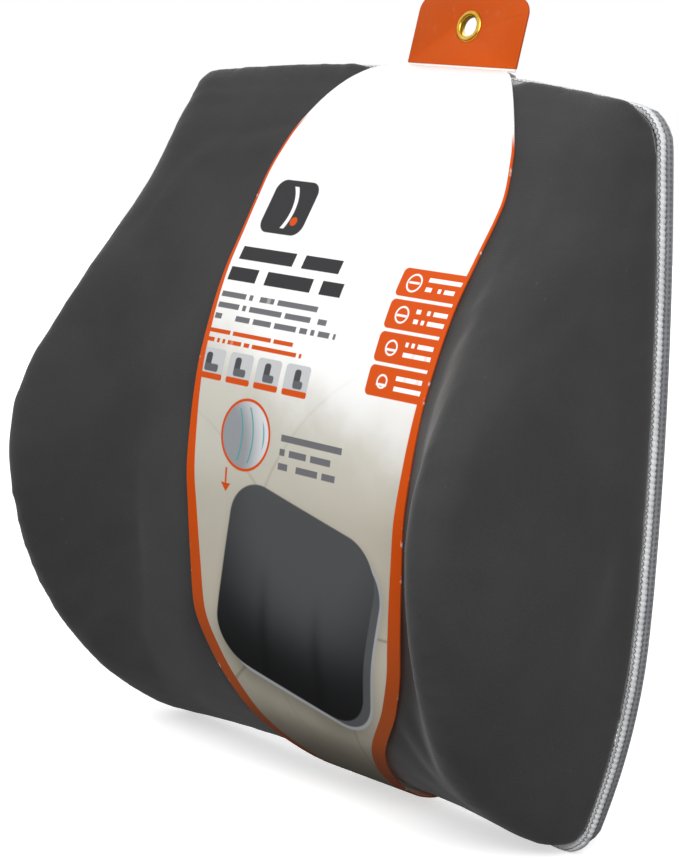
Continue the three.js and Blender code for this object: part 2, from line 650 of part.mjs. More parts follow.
// front card: from the crease over the top shoulder, down the front and under the bottom edge
function sleeveFront() {
  const shoulder = [];
  for (let i = 0; i <= SHOULDER_STEPS; i += 1) {
    const rim = SHOULDER * (1 - Math.cos(((i / SHOULDER_STEPS) * Math.PI) / 2));
    shoulder.push(1 - rim / (WIDTH / 2));
  }
  const levels = [...shoulder];
  const inner = shoulder.at(-1);
  for (let i = 1; i < CARD_STEPS; i += 1) levels.push(THREE.MathUtils.lerp(inner, -inner, i / CARD_STEPS));
  levels.push(...shoulder.toReversed().map((v) => -v));
  const heights = levels.map((v) => THREE.MathUtils.mapLinear(v, -1, 1, BOTTOM_Z, TOP_Z));
  const path = heights.map((z) => [-deepestUnder(z), z]);
  path.unshift([CREASE_Y, TOP_Z]);
  path.push([CREASE_Y, BOTTOM_Z]);
  return cardStrip(path.toReversed(), -CARD_GAP - CARD, -CARD_GAP, cardHalfWidth);
}

// back card: from under the bottom edge up the back to the crease
function sleeveBack() {
  const path = [
    [CREASE_Y + GAP, BOTTOM_Z],
    [BACK_Y - CARD_BEND, BOTTOM_Z],
    [BACK_Y, BOTTOM_Z + CARD_BEND],
    [BACK_Y, HEIGHT],
    [CREASE_Y + GAP, TOP_Z],
  ];
  return cardStrip(path, CARD_GAP, CARD_GAP + CARD, () => CARD_BACK);
}

addPiece('sleeve_front', sleeveFront(), PAPER);
addPiece('sleeve_back', sleeveBack(), PAPER);

// ---------------------------------------------------------------- hang tab and eyelet
const tab = new THREE.Group();
tab.position.set(CARD_OFFSET, CREASE_Y, CREASE_Z);
tab.rotation.x = -TAB_LEAN;
assembly.add(tab);

const [TAB_HEIGHT, TAB_THICK, TAB_CORNER] = TAB;
const [HOLE, FLANGE, SHEET] = EYELET;
const EYELET_Z = TAB_HEIGHT - EYELET_DROP;
const BARREL = HOLE + SHEET;

function hangTab() {
  const half = CARD_NARROW;
  const shape = new THREE.Shape();
  shape.moveTo(-half, 0);
  shape.lineTo(half, 0);
  shape.absarc(half - TAB_CORNER, TAB_HEIGHT - TAB_CORNER, TAB_CORNER, 0, Math.PI / 2);
  shape.absarc(TAB_CORNER - half, TAB_HEIGHT - TAB_CORNER, TAB_CORNER, Math.PI / 2, Math.PI);
  const hole = new THREE.Path();
  hole.absarc(0, EYELET_Z, BARREL + GAP, 0, 2 * Math.PI, true);
  return plate(shape.getPoints(8), TAB_THICK, TAB_THICK / 2, [hole]);
}

// turned about the Y axis at the hole's centre
function turned(profile) {
  const geometry = new THREE.LatheGeometry(profile.map(([r, y]) => new THREE.Vector2(r, y)), 32);
  return geometry.translate(0, 0, EYELET_Z);
}

const face = TAB_THICK / 2;
const eyeletProfile = [
  [HOLE, -face - GAP - SHEET],
  [FLANGE, -face - GAP - SHEET],
  [FLANGE, -face - GAP],
  [BARREL, -face - GAP],
  [BARREL, face + 2 * GAP + SHEET],
  [BARREL + EYELET_ROLL, face + 2 * GAP + SHEET],
  [BARREL + EYELET_ROLL, face + 2 * GAP + 2 * SHEET],
  [HOLE, face + 2 * GAP + 2 * SHEET],
  [HOLE, -face - GAP - SHEET],
];
const washerProfile = [
  [BARREL + GAP, face + GAP],
  [FLANGE, face + GAP],
  [FLANGE, face + GAP + SHEET],
  [BARREL + GAP, face + GAP + SHEET],
  [BARREL + GAP, face + GAP],
];

addPiece('hang_tab', hangTab(), PRINT, tab);
addPiece('eyelet', turned(eyeletProfile), BRASS, tab);
addPiece('eyelet_washer', turned(washerProfile), BRASS, tab);

// ---------------------------------------------------------------- origin at the middle of the base
assembly.updateMatrixWorld(true);
const bounds = new THREE.Box3().setFromObject(assembly, true);
assembly.position.set(-(bounds.min.x + bounds.max.x) / 2, -(bounds.min.y + bounds.max.y) / 2, -bounds.min.z);
assembly.updateMatrixWorld(true);

export default assembly;
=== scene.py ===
"""Lumbar support cushion in its card sleeve: soft pieces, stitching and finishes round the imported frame."""
import math

import bmesh
import bpy
import numpy as np
from mathutils import Matrix, Vector
from mathutils.bvhtree import BVHTree


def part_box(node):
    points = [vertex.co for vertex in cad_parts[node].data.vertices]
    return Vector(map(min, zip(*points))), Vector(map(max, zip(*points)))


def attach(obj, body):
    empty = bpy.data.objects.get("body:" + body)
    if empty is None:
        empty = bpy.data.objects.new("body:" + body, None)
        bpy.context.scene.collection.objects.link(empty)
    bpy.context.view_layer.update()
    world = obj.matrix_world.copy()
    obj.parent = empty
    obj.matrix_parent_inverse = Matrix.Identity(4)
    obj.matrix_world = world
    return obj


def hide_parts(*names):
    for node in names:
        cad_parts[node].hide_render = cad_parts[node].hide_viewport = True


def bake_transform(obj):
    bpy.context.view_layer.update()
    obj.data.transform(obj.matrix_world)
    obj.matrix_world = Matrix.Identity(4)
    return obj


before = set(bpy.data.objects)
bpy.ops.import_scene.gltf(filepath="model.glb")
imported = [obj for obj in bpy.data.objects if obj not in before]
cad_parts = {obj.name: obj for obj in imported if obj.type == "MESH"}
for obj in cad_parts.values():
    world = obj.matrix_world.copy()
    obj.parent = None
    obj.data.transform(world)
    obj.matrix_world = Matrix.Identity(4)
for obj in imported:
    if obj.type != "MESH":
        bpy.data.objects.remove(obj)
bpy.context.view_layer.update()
MM = 0.001


# ---------------------------------------------------------------- camera, light and floor
AZIMUTH = math.radians(45.5)
ELEVATION = math.radians(8.42)
ROLL = math.radians(4.38)
DISTANCE = 1.088
LENS = 97.0
AIM = Vector((-0.0195, 0.0389, 0.1609))


def add_camera():
    forward = Vector((
        -math.sin(AZIMUTH) * math.cos(ELEVATION),
        math.cos(AZIMUTH) * math.cos(ELEVATION),
        -math.sin(ELEVATION),
    ))
    level = Vector((math.cos(AZIMUTH), math.sin(AZIMUTH), 0))
    upright = level.cross(forward)
    right = math.cos(ROLL) * level + math.sin(ROLL) * upright
    above = -math.sin(ROLL) * level + math.cos(ROLL) * upright
    camera = bpy.data.objects.new("camera", bpy.data.cameras.new("camera"))
    bpy.context.collection.objects.link(camera)
    turn = Matrix((right, above, -forward)).transposed().to_4x4()
    camera.matrix_world = Matrix.Translation(AIM - forward * DISTANCE) @ turn
    camera.data.lens = LENS
    bpy.context.scene.camera = camera


def add_sun(name, toward, strength, softness, shadows=True):
    """Broad soft light that shines along a direction."""
    lamp = bpy.data.objects.new(name, bpy.data.lights.new(name, "SUN"))
    bpy.context.collection.objects.link(lamp)
    lamp.data.energy = strength
    lamp.data.angle = math.radians(softness)
    lamp.data.use_shadow = shadows
    lamp.rotation_euler = Vector(toward).to_track_quat("-Z", "Y").to_euler()


def add_softbox(name, place, aim, size, power):
    """Square light near the object, so that what is further from it is darker."""
    lamp = bpy.data.objects.new(name, bpy.data.lights.new(name, "AREA"))
    bpy.context.collection.objects.link(lamp)
    lamp.data.size = size
    lamp.data.energy = power
    lamp.location = place
    lamp.rotation_euler = (Vector(aim) - Vector(place)).to_track_quat("-Z", "Y").to_euler()
    lamp.visible_camera = False


def add_studio():
    """A softbox over the front, a soft key, fills from the left and behind, and a white backdrop."""
    add_softbox("softbox", (0.50, -0.38, 0.52), (0.08, 0.0, 0.22), 0.3, 1.9)
    add_sun("key_light", (-0.5, 0.75, -0.5), 1.6, 45)
    add_sun("fill_light", (0.75, 0.6, -0.7), 0.8, 70, shadows=False)
    add_sun("back_light", (0.5, -0.85, -0.22), 2.4, 70, shadows=False)
    world = bpy.data.worlds.new("studio")
    world.use_nodes = True
    nodes, links = world.node_tree.nodes, world.node_tree.links
    walls = nodes["Background"]
    walls.inputs["Color"].default_value = (0.26, 0.26, 0.26, 1)
    backdrop = nodes.new("ShaderNodeBackground")
    backdrop.inputs["Color"].default_value = (1, 1, 1, 1)
    seen = nodes.new("ShaderNodeLightPath")
    choice = nodes.new("ShaderNodeMixShader")
    links.new(seen.outputs["Is Camera Ray"], choice.inputs[0])
    links.new(walls.outputs[0], choice.inputs[1])
    links.new(backdrop.outputs[0], choice.inputs[2])
    links.new(choice.outputs[0], nodes["World Output"].inputs["Surface"])
    bpy.context.scene.world = world
    bpy.context.scene.view_settings.view_transform = "Standard"


# ---------------------------------------------------------------- shader writing
def ink(red, green, blue):
    """A colour given as it is printed, 0 to 255, in the linear values that shaders use."""
    def linear(value):
        share = value / 255
        return share / 12.92 if share <= 0.04045 else ((share + 0.055) / 1.055) ** 2.4
    return (linear(red), linear(green), linear(blue), 1.0)


class Socket:
    """A node's output that can be used in sums: each operator adds its Math node."""

    def __init__(self, finish, output):
        self.finish = finish
        self.output = output

    def __add__(self, other):
        return self.finish.math("ADD", self, other)

    def __radd__(self, other):
        return self.finish.math("ADD", other, self)

    def __sub__(self, other):
        return self.finish.math("SUBTRACT", self, other)

    def __rsub__(self, other):
        return self.finish.math("SUBTRACT", other, self)

    def __mul__(self, other):
        return self.finish.math("MULTIPLY", self, other)

    def __rmul__(self, other):
        return self.finish.math("MULTIPLY", other, self)

    def __truediv__(self, other):
        return self.finish.math("DIVIDE", self, other)

    def __abs__(self):
        return self.finish.math("ABSOLUTE", self)


class Finish:
    """A material: its Principled shader and the nodes that feed it."""

    def __init__(self, name, **constants):
        self.material = bpy.data.materials.new(name)
        self.material.use_nodes = True
        self.tree = self.material.node_tree
        self.shader = self.tree.nodes["Principled BSDF"]
        for socket, value in constants.items():
            self.shader.inputs[socket.replace("_", " ")].default_value = value
        corner = self.node("ShaderNodeTexCoord", output="Object")
        self.place = self.vector("SCALE", corner, Scale=1 / MM)
        self.x, self.y, self.z = self.split(self.place)

    def node(self, kind, settings=None, sockets=None, output=0):
        """Adds one node: its settings first, then the values or links of its sockets."""
        made = self.tree.nodes.new(kind)
        for key, value in (settings or {}).items():
            setattr(made, key, value)
        for key, value in (sockets or {}).items():
            if isinstance(value, Socket):
                self.tree.links.new(value.output, made.inputs[key])
            else:
                made.inputs[key].default_value = value
        return Socket(self, made.outputs[output])

    def math(self, operation, *values):
        return self.node("ShaderNodeMath", {"operation": operation}, dict(enumerate(values)))

    def vector(self, operation, *values, output=0, **named):
        sockets = {**dict(enumerate(values)), **named}
        return self.node("ShaderNodeVectorMath", {"operation": operation}, sockets, output)

    def split(self, place):
        """The x, y and z of a place."""
        parts = self.node("ShaderNodeSeparateXYZ", sockets={0: place}).output.node
        return [Socket(self, output) for output in parts.outputs]

    def wave(self, value, pitch):
        """Ripples from 0 to 1, one for each pitch."""
        return self.math("SINE", value * (2 * math.pi / pitch)) * 0.5 + 0.5

    def sawtooth(self, value, pitch):
        return self.math("FRACT", value / pitch)

    def ramp(self, value, low, high):
        """0 below low, 1 above high and a soft step between them."""
        sockets = {"Value": value, "From Min": low, "From Max": high}
        return self.node("ShaderNodeMapRange", {"interpolation_type": "SMOOTHSTEP"}, sockets)

    def noise(self, size, detail=2.0, place=None):
        """Cloudy noise from 0 to 1, with clouds of about this size in millimetres."""
        sockets = {"Vector": place or self.place, "Scale": 1 / size, "Detail": detail}
        return self.node("ShaderNodeTexNoise", None, sockets)

    def clouds(self, size, detail=3, low=0.3, high=0.7):
        """Soft patches of about this size, 0 between them and 1 inside."""
        return self.ramp(self.noise(size, detail), low, high)

    def cells(self, size, place=None, spread=1.0):
        """Distance to the middle of the nearest cell, for cells of this size in millimetres."""
        sockets = {"Vector": place or self.place, "Scale": 1 / size, "Randomness": spread}
        return self.node("ShaderNodeTexVoronoi", None, sockets)

    def uv(self, name):
        """The piece's own map, in millimetres."""
        return self.vector("SCALE", self.node("ShaderNodeUVMap", {"uv_map": name}), Scale=100.0)

    def join(self, x, y, z=0.0):
        return self.node("ShaderNodeCombineXYZ", None, {0: x, 1: y, 2: z})

    def mix(self, share, low, high):
        return self.node("ShaderNodeMix", {"data_type": "RGBA"}, {0: share, 6: low, 7: high}, 2)

    def set(self, **fed):
        """Links values that change over the surface to the shader's own sockets."""
        for socket, value in fed.items():
            self.tree.links.new(value.output, self.shader.inputs[socket.replace("_", " ")])
        return self

    def bump(self, height, depth):
        """Raises the surface by up to depth millimetres where height is 1."""
        sockets = {"Height": height, "Distance": depth * MM, "Strength": 1.0}
        return self.set(Normal=self.node("ShaderNodeBump", None, sockets))


# ---------------------------------------------------------------- finishes
def knit_finish():
    """Black circular knit with a soft nap."""
    f = Finish("black_knit", Sheen_Weight=0.2, Sheen_Roughness=0.45, Specular_IOR_Level=0.2)
    wale = f.x + f.y * 0.8
    course = f.z + f.y * 0.6
    column = abs(f.sawtooth(wale, 1.1) - 0.5)
    loop = f.wave(course + column * 0.9, 0.9) * (1 - column * 1.5)
    cloud = f.noise(38, 3)
    fleck = f.noise(1.1, 1)
    shade = f.ramp(cloud * 0.7 + fleck * 0.3, 0.3, 0.72)
    lint = f.clouds(2.6, 4, 0.69, 0.78) * 0.25
    colour = f.mix(shade, ink(57, 57, 57), ink(65, 65, 65))
    colour = f.mix((1 - loop) * 0.25, colour, ink(40, 40, 40))
    f.set(Base_Color=f.mix(lint, colour, ink(96, 96, 96)), Roughness=0.84 + 0.1 * fleck)
    return f.bump(loop * 0.7 + cloud * 0.3, 0.1).material


def gathered_finish():
    """Light grey piping cloth with a fine darker weave pattern."""
    f = Finish("gathered_piping", Sheen_Weight=0.15, Roughness=0.8)
    along, across, _ = f.split(f.uv("along"))
    weave = f.wave(along + across, 0.55) * f.wave(along - across, 0.55)
    colour = f.mix(f.clouds(14, high=0.75), ink(222, 223, 225), ink(244, 245, 246))
    f.set(Base_Color=f.mix((1 - weave) * 0.25, colour, ink(150, 152, 156)))
    return f.bump(weave, 0.12).material


def spacer_mesh_finish(name, low, high, hole, follow=None):
    """Grey knitted mesh with rows of small holes; the dark hole colour is painted shade inside the holes."""
    f = Finish(name, Sheen_Weight=0.2, Sheen_Roughness=0.5)
    place = f.uv(follow) if follow else f.join(f.x + f.z, f.x - f.z)
    pitch = 2.4 if follow else 3.2
    open_hole = 1 - f.ramp(f.cells(pitch, place, 0.06), 0.26, 0.4)
    yarn = f.noise(0.8, 2)
    colour = f.mix(f.clouds(30), low, high)
    colour = f.mix(yarn * 0.35, colour, ink(70, 71, 74))
    # hole is a dark colour laid in the openings as painted shade, not a colour of the mesh itself
    f.set(Base_Color=f.mix(open_hole * 0.85, colour, hole), Roughness=0.82 + yarn * 0.14)
    return f.bump((1 - open_hole) * 0.8 + yarn * 0.2, 0.35).material


def webbing_finish(name, dark, light, across):
    """Narrow woven tape: ribs along it and picks across it."""
    f = Finish(name, Sheen_Weight=0.2, Specular_IOR_Level=0.35)
    rib = f.wave(f.z, across)
    pick = f.wave(f.x + rib * 0.4, 0.9)
    weave = rib * 0.6 + pick * 0.4
    worn = f.clouds(9, 4, 0.5, 0.75)
    colour = f.mix(weave, dark, light)
    f.set(Base_Color=f.mix(worn * 0.3, colour, light), Roughness=0.62 + 0.25 * weave)
    return f.bump(weave, 0.22).material


def moulded_finish(name, low, high, roughness):
    """Moulded plastic with a fine spark-eroded grain and rubbed patches."""
    f = Finish(name, Specular_IOR_Level=0.5)
    grain = f.noise(0.45, 2)
    rub = f.clouds(7, 4, 0.48, 0.72)
    f.set(Base_Color=f.mix(rub, low, high), Roughness=roughness + grain * 0.18 - rub * 0.08)
    return f.bump(grain, 0.03).material


def metal_finish(name, low, high, roughness):
    """Plated metal with handling marks."""
    f = Finish(name, Metallic=1.0)
    cloud = f.clouds(3.5, 4, 0.35)
    hairline = f.noise(0.9, 3, f.join(f.x * 0.2, f.y, f.z * 3.0))
    f.set(Base_Color=f.mix(cloud, low, high), Roughness=roughness + 0.16 * hairline + 0.08 * cloud)
    return f.bump(hairline, 0.012).material


def foam_finish():
    f = Finish("memory_foam", Roughness=0.9, Subsurface_Weight=0.05)
    cell = f.cells(1.4)
    colour = f.mix(f.clouds(25), ink(226, 219, 196), ink(238, 233, 215))
    f.set(Base_Color=f.mix((1 - f.ramp(cell, 0.1, 0.5)) * 0.4, colour, ink(196, 186, 158)))
    return f.bump(f.ramp(cell, 0.05, 0.5), 0.25).material


def woven_finish(name, low, high, pitch):
    """Plain woven cloth."""
    f = Finish(name, Sheen_Weight=0.1, Roughness=0.88)
    weave = f.wave(f.x + f.y, pitch) * f.wave(f.z + f.y, pitch)
    f.set(Base_Color=f.mix(weave * 0.6 + f.clouds(16) * 0.4, low, high))
    return f.bump(weave, 0.1).material


def card_finish(name, low, high, gloss):
    """Plain coated card with faint fibres."""
    f = Finish(name, Specular_IOR_Level=0.45)
    fibre = f.noise(1.6, 4, f.join(f.x * 2.2, f.y, f.z * 0.7))
    tone = f.clouds(45, 2) * 0.6 + fibre * 0.4
    f.set(Base_Color=f.mix(tone, low, high), Roughness=gloss + 0.2 * fibre)
    return f.bump(fibre, 0.03).material


def thread_finish(name, colour, light):
    f = Finish(name, Roughness=0.6, Sheen_Weight=0.2)
    twist = f.wave(f.x + f.y + f.z, 0.4)
    f.set(Base_Color=f.mix(twist, colour, light))
    return f.bump(twist, 0.05).material


def floor_finish():
    """Pale studio floor that throws little light back up."""
    f = Finish("studio_floor", Specular_IOR_Level=0.0, Roughness=0.9)
    f.set(Base_Color=f.mix(f.noise(900, 1), ink(248, 248, 248), ink(252, 252, 252)))
    dull = f.node("ShaderNodeBsdfDiffuse", None, {"Color": ink(120, 120, 120)})
    seen = f.node("ShaderNodeLightPath", output="Is Camera Ray")
    f.shader.inputs["Emission Color"].default_value = (1, 1, 1, 1)
    f.shader.inputs["Emission Strength"].default_value = 0.45
    pale = Socket(f, f.shader.outputs[0])
    both = f.node("ShaderNodeMixShader", None, {0: seen, 1: dull, 2: pale})
    f.tree.links.new(both.output, f.tree.nodes["Material Output"].inputs["Surface"])
    return f.material


# ---------------------------------------------------------------- the sleeve's print
ORANGE = ink(212, 80, 8)
# a darker orange used as painted shade on the border towards the card's foot
ORANGE_IN_PAINTED_SHADE = ink(150, 80, 42)
TYPE_DARK = ink(52, 52, 54)
TYPE_GREY = ink(112, 112, 116)
WHITE = ink(250, 250, 249)


class Print:
    """Ink laid on the card in layers, in millimetres across from its middle and down from the crease."""

    def __init__(self, finish, place):
        self.f = finish
        self.place = place
        self.across, self.down, _ = finish.split(place)
        self.colour = WHITE

    def lay(self, mask, colour):
        self.colour = self.f.mix(mask, self.colour, colour)

    def within(self, distance, soft=0.25):
        """1 where a signed distance is below zero."""
        return 1 - self.f.ramp(distance, -soft, soft)

    def fill(self, shape, colour, soft=0.25):
        self.lay(self.within(shape, soft), colour)

    def panel(self, left, right, top, bottom, corner=1.0):
        """A box with round corners."""
        f = self.f
        middle = ((left + right) / 2, (top + bottom) / 2, 0)
        reach = ((right - left) / 2 - corner, (bottom - top) / 2 - corner, 0)
        local = f.vector("ABSOLUTE", f.vector("SUBTRACT", self.place, middle))
        outside = f.vector("MAXIMUM", f.vector("SUBTRACT", local, reach), (0, 0, 0))
        return f.vector("LENGTH", outside, output="Value") - corner

    def disc(self, across, down, radius):
        return self.f.vector("DISTANCE", self.place, (across, down, 0), output="Value") - radius

    def ring(self, across, down, radius, width):
        return abs(self.disc(across, down, radius)) - width / 2

    def words(self, left, right, top, lines, pitch, size, seed):
        """Lines of grey bars that stand in for type, broken into words."""
        f = self.f
        row = f.math("FLOOR", (self.down - top) / pitch)
        inside = self.within(abs(self.down - top - row * pitch - size / 2) - size / 2, 0.2)
        cell = f.join(f.math("FLOOR", (self.across + seed) / (size * 0.9)), row + seed, 0.0)
        spread = f.node("ShaderNodeTexWhiteNoise", {"noise_dimensions": "2D"}, {"Vector": cell})
        letter = f.ramp(spread, 0.16, 0.17)
        bounds = f.ramp(row, -0.6, -0.4) * (1 - f.ramp(row, lines - 0.6, lines - 0.4))
        ragged = f.math("FRACT", row * 0.61 + seed * 0.37) * (right - left) * 0.25
        sides = self.within(left - self.across) * self.within(self.across - right + ragged)
        return inside * letter * bounds * sides


def printed_finish():
    """The sleeve's front: white top, orange border and tabs, grey bars for type and a drawn seat."""
    f = Finish("printed_card", Specular_IOR_Level=0.15)
    p = Print(f, f.uv("print"))
    from_edge = f.split(f.uv("edge"))[0]
    haze = f.noise(22, 3, p.place)

    # a pale car seat below the middle, fading out of the white
    seat_shade = f.ramp(p.down + p.across * 0.25 + haze * 30, 165, 300)
    p.lay(f.ramp(p.down - p.across * 0.35 + haze * 20, 166, 205) * 0.85, ink(200, 197, 184))
    p.lay(seat_shade * 0.7, ink(150, 141, 120))
    for across, down, radius in ((95, 262, 120), (-120, 330, 150), (60, 420, 150)):
        seam = p.within(p.ring(across, down, radius, 1.0), 0.9)
        p.lay(seam * seat_shade * 0.8, ink(120, 112, 96))
        glow = p.within(p.disc(across, down, radius - 6), 26)
        p.lay(glow * seat_shade * 0.35, ink(226, 219, 202))
    p.lay(f.ramp(p.down + haze * 16, 290, 366) * 0.75, ink(96, 87, 72))

    # a drawn cushion on the seat
    lean = math.radians(13)
    turned = f.node("ShaderNodeVectorRotate", {"rotation_type": "Z_AXIS"},
                    {"Vector": p.place, "Center": (2, 268, 0), "Angle": -lean})
    tilted = Print(f, turned)
    shadow = tilted.panel(-44, 52, 226, 318, 24)
    body = tilted.panel(-46, 47, 222, 312, 20)
    side = tilted.panel(-42, 53, 226, 314, 20)
    p.lay(p.within(shadow, 7) * 0.55, ink(70, 62, 50))
    p.fill(side, ink(176, 178, 180), 0.5)
    p.fill(side + 1.6, ink(92, 93, 96), 0.4)
    on_body = p.within(body, 0.5)
    p.lay(on_body, ink(40, 41, 43))
    p.lay(p.within(tilted.disc(2, 222, 58), 26) * on_body * 0.7, ink(96, 97, 99))
    for across in (-18, 16):
        flute = p.within(abs(tilted.across - across - (tilted.down - 268) * 0.12) - 1.6, 5)
        p.lay(flute * f.ramp(tilted.down, 250, 292) * on_body * 0.7, ink(20, 21, 22))
    p.lay(f.ramp(tilted.down, 268, 316) * on_body * 0.75, ink(12, 12, 13))

    # round inset with a curved back and three airflow lines, and its arrow
    inset = p.disc(-32, 196, 15.5)
    p.fill(inset, ink(222, 224, 226))
    p.lay(p.within(inset) * p.within(p.disc(-54, 204, 30), 9), ink(150, 153, 157))
    for step in range(3):
        arc = p.ring(-62 + step * 7, 198, 28, 0.9)
        p.lay(p.within(arc) * p.within(inset + 3) * 0.85, ink(64, 158, 164))
    p.fill(p.ring(-32, 196, 15.5, 1.3), ORANGE)
    p.fill(p.panel(-42.6, -41.4, 212, 219, 0.4), ORANGE)
    head = f.math("MAXIMUM", abs(p.across + 42) + (p.down - 223) * 0.8, 219 - p.down)
    p.fill(head, ORANGE)
    p.lay(p.words(-9, 30, 192, 3, 6.2, 3.0, 3), TYPE_GREY)

    # emblem: a plain badge with a seat-back curve
    p.fill(p.panel(-63, -35, 77, 104, 6), TYPE_DARK)
    p.lay(p.within(p.ring(-66, 92, 20, 2.2)) * p.within(p.panel(-60, -38, 80, 101, 3)), WHITE)
    p.fill(p.disc(-42.5, 97, 2.2), ORANGE)

    # type: headings, text, a coloured note
    p.lay(p.words(-66, 10, 112, 1, 12, 6.6, 1), TYPE_DARK)
    p.lay(p.words(-68, 22, 122.5, 1, 12, 6.6, 2), TYPE_DARK)
    p.lay(p.words(-68, 12, 134.5, 3, 5.2, 2.6, 5), TYPE_GREY)
    p.lay(p.words(-69, 4, 152, 2, 4.2, 2.0, 8), ORANGE)

    # four small pictures, each a plain seat shape over a coloured label
    for step in range(4):
        left = -69 + step * 18.5
        p.fill(p.panel(left, left + 15.5, 161, 175, 2), ink(198, 200, 202))
        p.fill(p.panel(left + 3 + step, left + 7 + step, 163, 171, 1.5), ink(74, 76, 80))
        p.fill(p.panel(left + 3 + step, left + 12, 168, 171.5, 1.2), ink(98, 100, 104))
        p.fill(p.panel(left, left + 15.5, 172.2, 175, 1), ORANGE)

    # four tabs at the right edge with plain pictograms
    for step in range(4):
        top = 110.5 + step * 14.6
        p.fill(p.panel(36, 90, top, top + 13.2, 2.4), ORANGE)
        p.fill(p.ring(44.5, top + 6.6, 3.9 - 0.4 * step, 0.8), WHITE)
        p.fill(p.panel(41.5, 47.5, top + 6 + 0.5 * step, top + 7 + 0.5 * step, 0.4), WHITE)
        p.lay(p.words(52, 72, top + 3.2, 2, 4.4, 2.0, step + 11), WHITE)

    # border: a fine line at the flare that widens towards the foot, and turns darker orange towards the foot
    # as painted shade
    width = 1.3 + 7.0 * f.ramp(p.down, 70, 330)
    border = p.within(from_edge - width) * f.ramp(p.down, 42, 52)
    # the darker orange towards the foot is painted shade, not a second ink
    p.lay(border, f.mix(f.ramp(p.down + haze * 30, 235, 345) * 0.8, ORANGE, ORANGE_IN_PAINTED_SHADE))
    scuff = f.ramp(f.noise(6, 5, p.place), 0.62, 0.74)
    worn_edge = p.within(from_edge - 0.5, 0.5) * scuff
    p.lay(worn_edge, ink(232, 226, 216))
    fibre = f.noise(1.5, 3, p.place)
    f.set(Base_Color=p.colour, Roughness=0.4 + 0.1 * fibre + 0.2 * worn_edge)
    return f.bump(fibre * 0.7 + haze * 0.3, 0.04).material


def tab_finish():
    """Orange print on the hang tab, with faint pale rubbed patches."""
    f = Finish("orange_tab", Specular_IOR_Level=0.15)
    scuff = f.clouds(5, 5, 0.6, 0.78)
    fibre = f.noise(1.5, 3)
    colour = f.mix(f.clouds(30, 2), ink(194, 78, 12), ink(199, 82, 17))
    f.set(Base_Color=f.mix(scuff * 0.08, colour, ink(232, 170, 130)), Roughness=0.42 + 0.2 * fibre)
    return f.bump(fibre, 0.03).material


# ---------------------------------------------------------------- modelling helpers
def take(piece):
    """Makes this the only selected object, and the active one."""
    if bpy.context.mode != "OBJECT":
        bpy.ops.object.mode_set(mode="OBJECT")
    bpy.ops.object.select_all(action="DESELECT")
    piece.select_set(True)
    bpy.context.view_layer.objects.active = piece
    return piece


def start(name, add, **options):
    """Adds a primitive by its operator, at its size and place."""
    if bpy.context.mode != "OBJECT":
        bpy.ops.object.mode_set(mode="OBJECT")
    bpy.ops.object.select_all(action="DESELECT")
    add(**options)
    piece = bpy.context.active_object
    piece.name = name
    settle(piece)
    return piece


def settle(piece):
    """Puts the object at the origin, unturned and unscaled, with its place in its mesh."""
    take(piece)
    bpy.ops.object.transform_apply(location=True, rotation=True, scale=True)


def block(name, low, high):
    """A box between two corners, as a start."""
    low, high = Vector(low), Vector(high)
    piece = start(name, bpy.ops.mesh.primitive_cube_add, size=1, location=(low + high) / 2)
    for vertex in piece.data.vertices:
        sides = zip(vertex.co, (low + high) / 2, low, high)
        vertex.co = Vector(far if at > middle else near for at, middle, near, far in sides)
    return piece


def edit(piece, mode="FACE"):
    take(piece)
    bpy.ops.object.mode_set(mode="EDIT")
    bpy.ops.mesh.select_mode(type=mode)
    bpy.ops.mesh.select_all(action="SELECT")


def done():
    bpy.ops.object.mode_set(mode="OBJECT")


def pick(kind, test):
    """In edit mode, selects only the faces, edges or verts that pass the test."""
    bpy.ops.mesh.select_all(action="DESELECT")
    mesh = bmesh.from_edit_mesh(bpy.context.active_object.data)
    mesh.normal_update()
    for part in getattr(mesh, kind):
        if test(part):
            part.select_set(True)
    bmesh.update_edit_mesh(bpy.context.active_object.data)


def cut(place, normal, **options):
    """In edit mode, cuts the whole mesh along a plane."""
    bpy.ops.mesh.select_all(action="SELECT")
    bpy.ops.mesh.bisect(plane_co=place, plane_no=normal, **options)


def add_modifier(piece, kind, **settings):
    """Adds a modifier and applies it."""
    take(piece)
    modifier = piece.modifiers.new(kind.lower(), kind)
    for key, value in settings.items():
        setattr(modifier, key, value)
    bpy.ops.object.modifier_apply(modifier=modifier.name)


def subdivide(piece):
    add_modifier(piece, "SUBSURF", levels=1, render_levels=1)


def round_edges(piece, width, segments=2, angle=35):
    add_modifier(piece, "BEVEL", width=width, segments=segments, limit_method="ANGLE",
                 angle_limit=math.radians(angle))


def smooth(piece, angle=None):
    take(piece)
    if angle is None:
        bpy.ops.object.shade_smooth()
    else:
        bpy.ops.object.shade_smooth_by_angle(angle=math.radians(angle))


def points_of(piece):
    return np.array([v.co for v in piece.data.vertices], float).reshape(-1, 3)


def normals_of(piece):
    return np.array([v.normal for v in piece.data.vertices], float).reshape(-1, 3)


def move_points(piece, points):
    piece.data.vertices.foreach_set("co", np.asarray(points, np.float32).ravel())
    piece.data.update()


def join(pieces, name):
    """Makes several objects one."""
    take(pieces[0])
    for piece in pieces[1:]:
        piece.select_set(True)
    if len(pieces) > 1:
        bpy.ops.object.join()
    pieces[0].name = name
    return pieces[0]


def merged_copy(node, name, flat_angle=0.5):
    """A copy of a CAD node's mesh with its loose triangles merged, and flat faces made whole."""
    piece = bpy.data.objects.new(name, bpy.data.objects[node].data.copy())
    bpy.context.collection.objects.link(piece)
    piece.data.materials.clear()
    edit(piece)
    bpy.ops.mesh.remove_doubles(threshold=1e-6)
    if flat_angle:
        bpy.ops.mesh.dissolve_limited(angle_limit=math.radians(flat_angle))
    done()
    return piece


def eased(node, name, width, segments=2, smooth_angle=40):
    """A merged copy of a CAD node with its edges rounded by this many millimetres."""
    piece = merged_copy(node, name)
    round_edges(piece, width * MM, segments)
    smooth(piece, smooth_angle)
    return piece


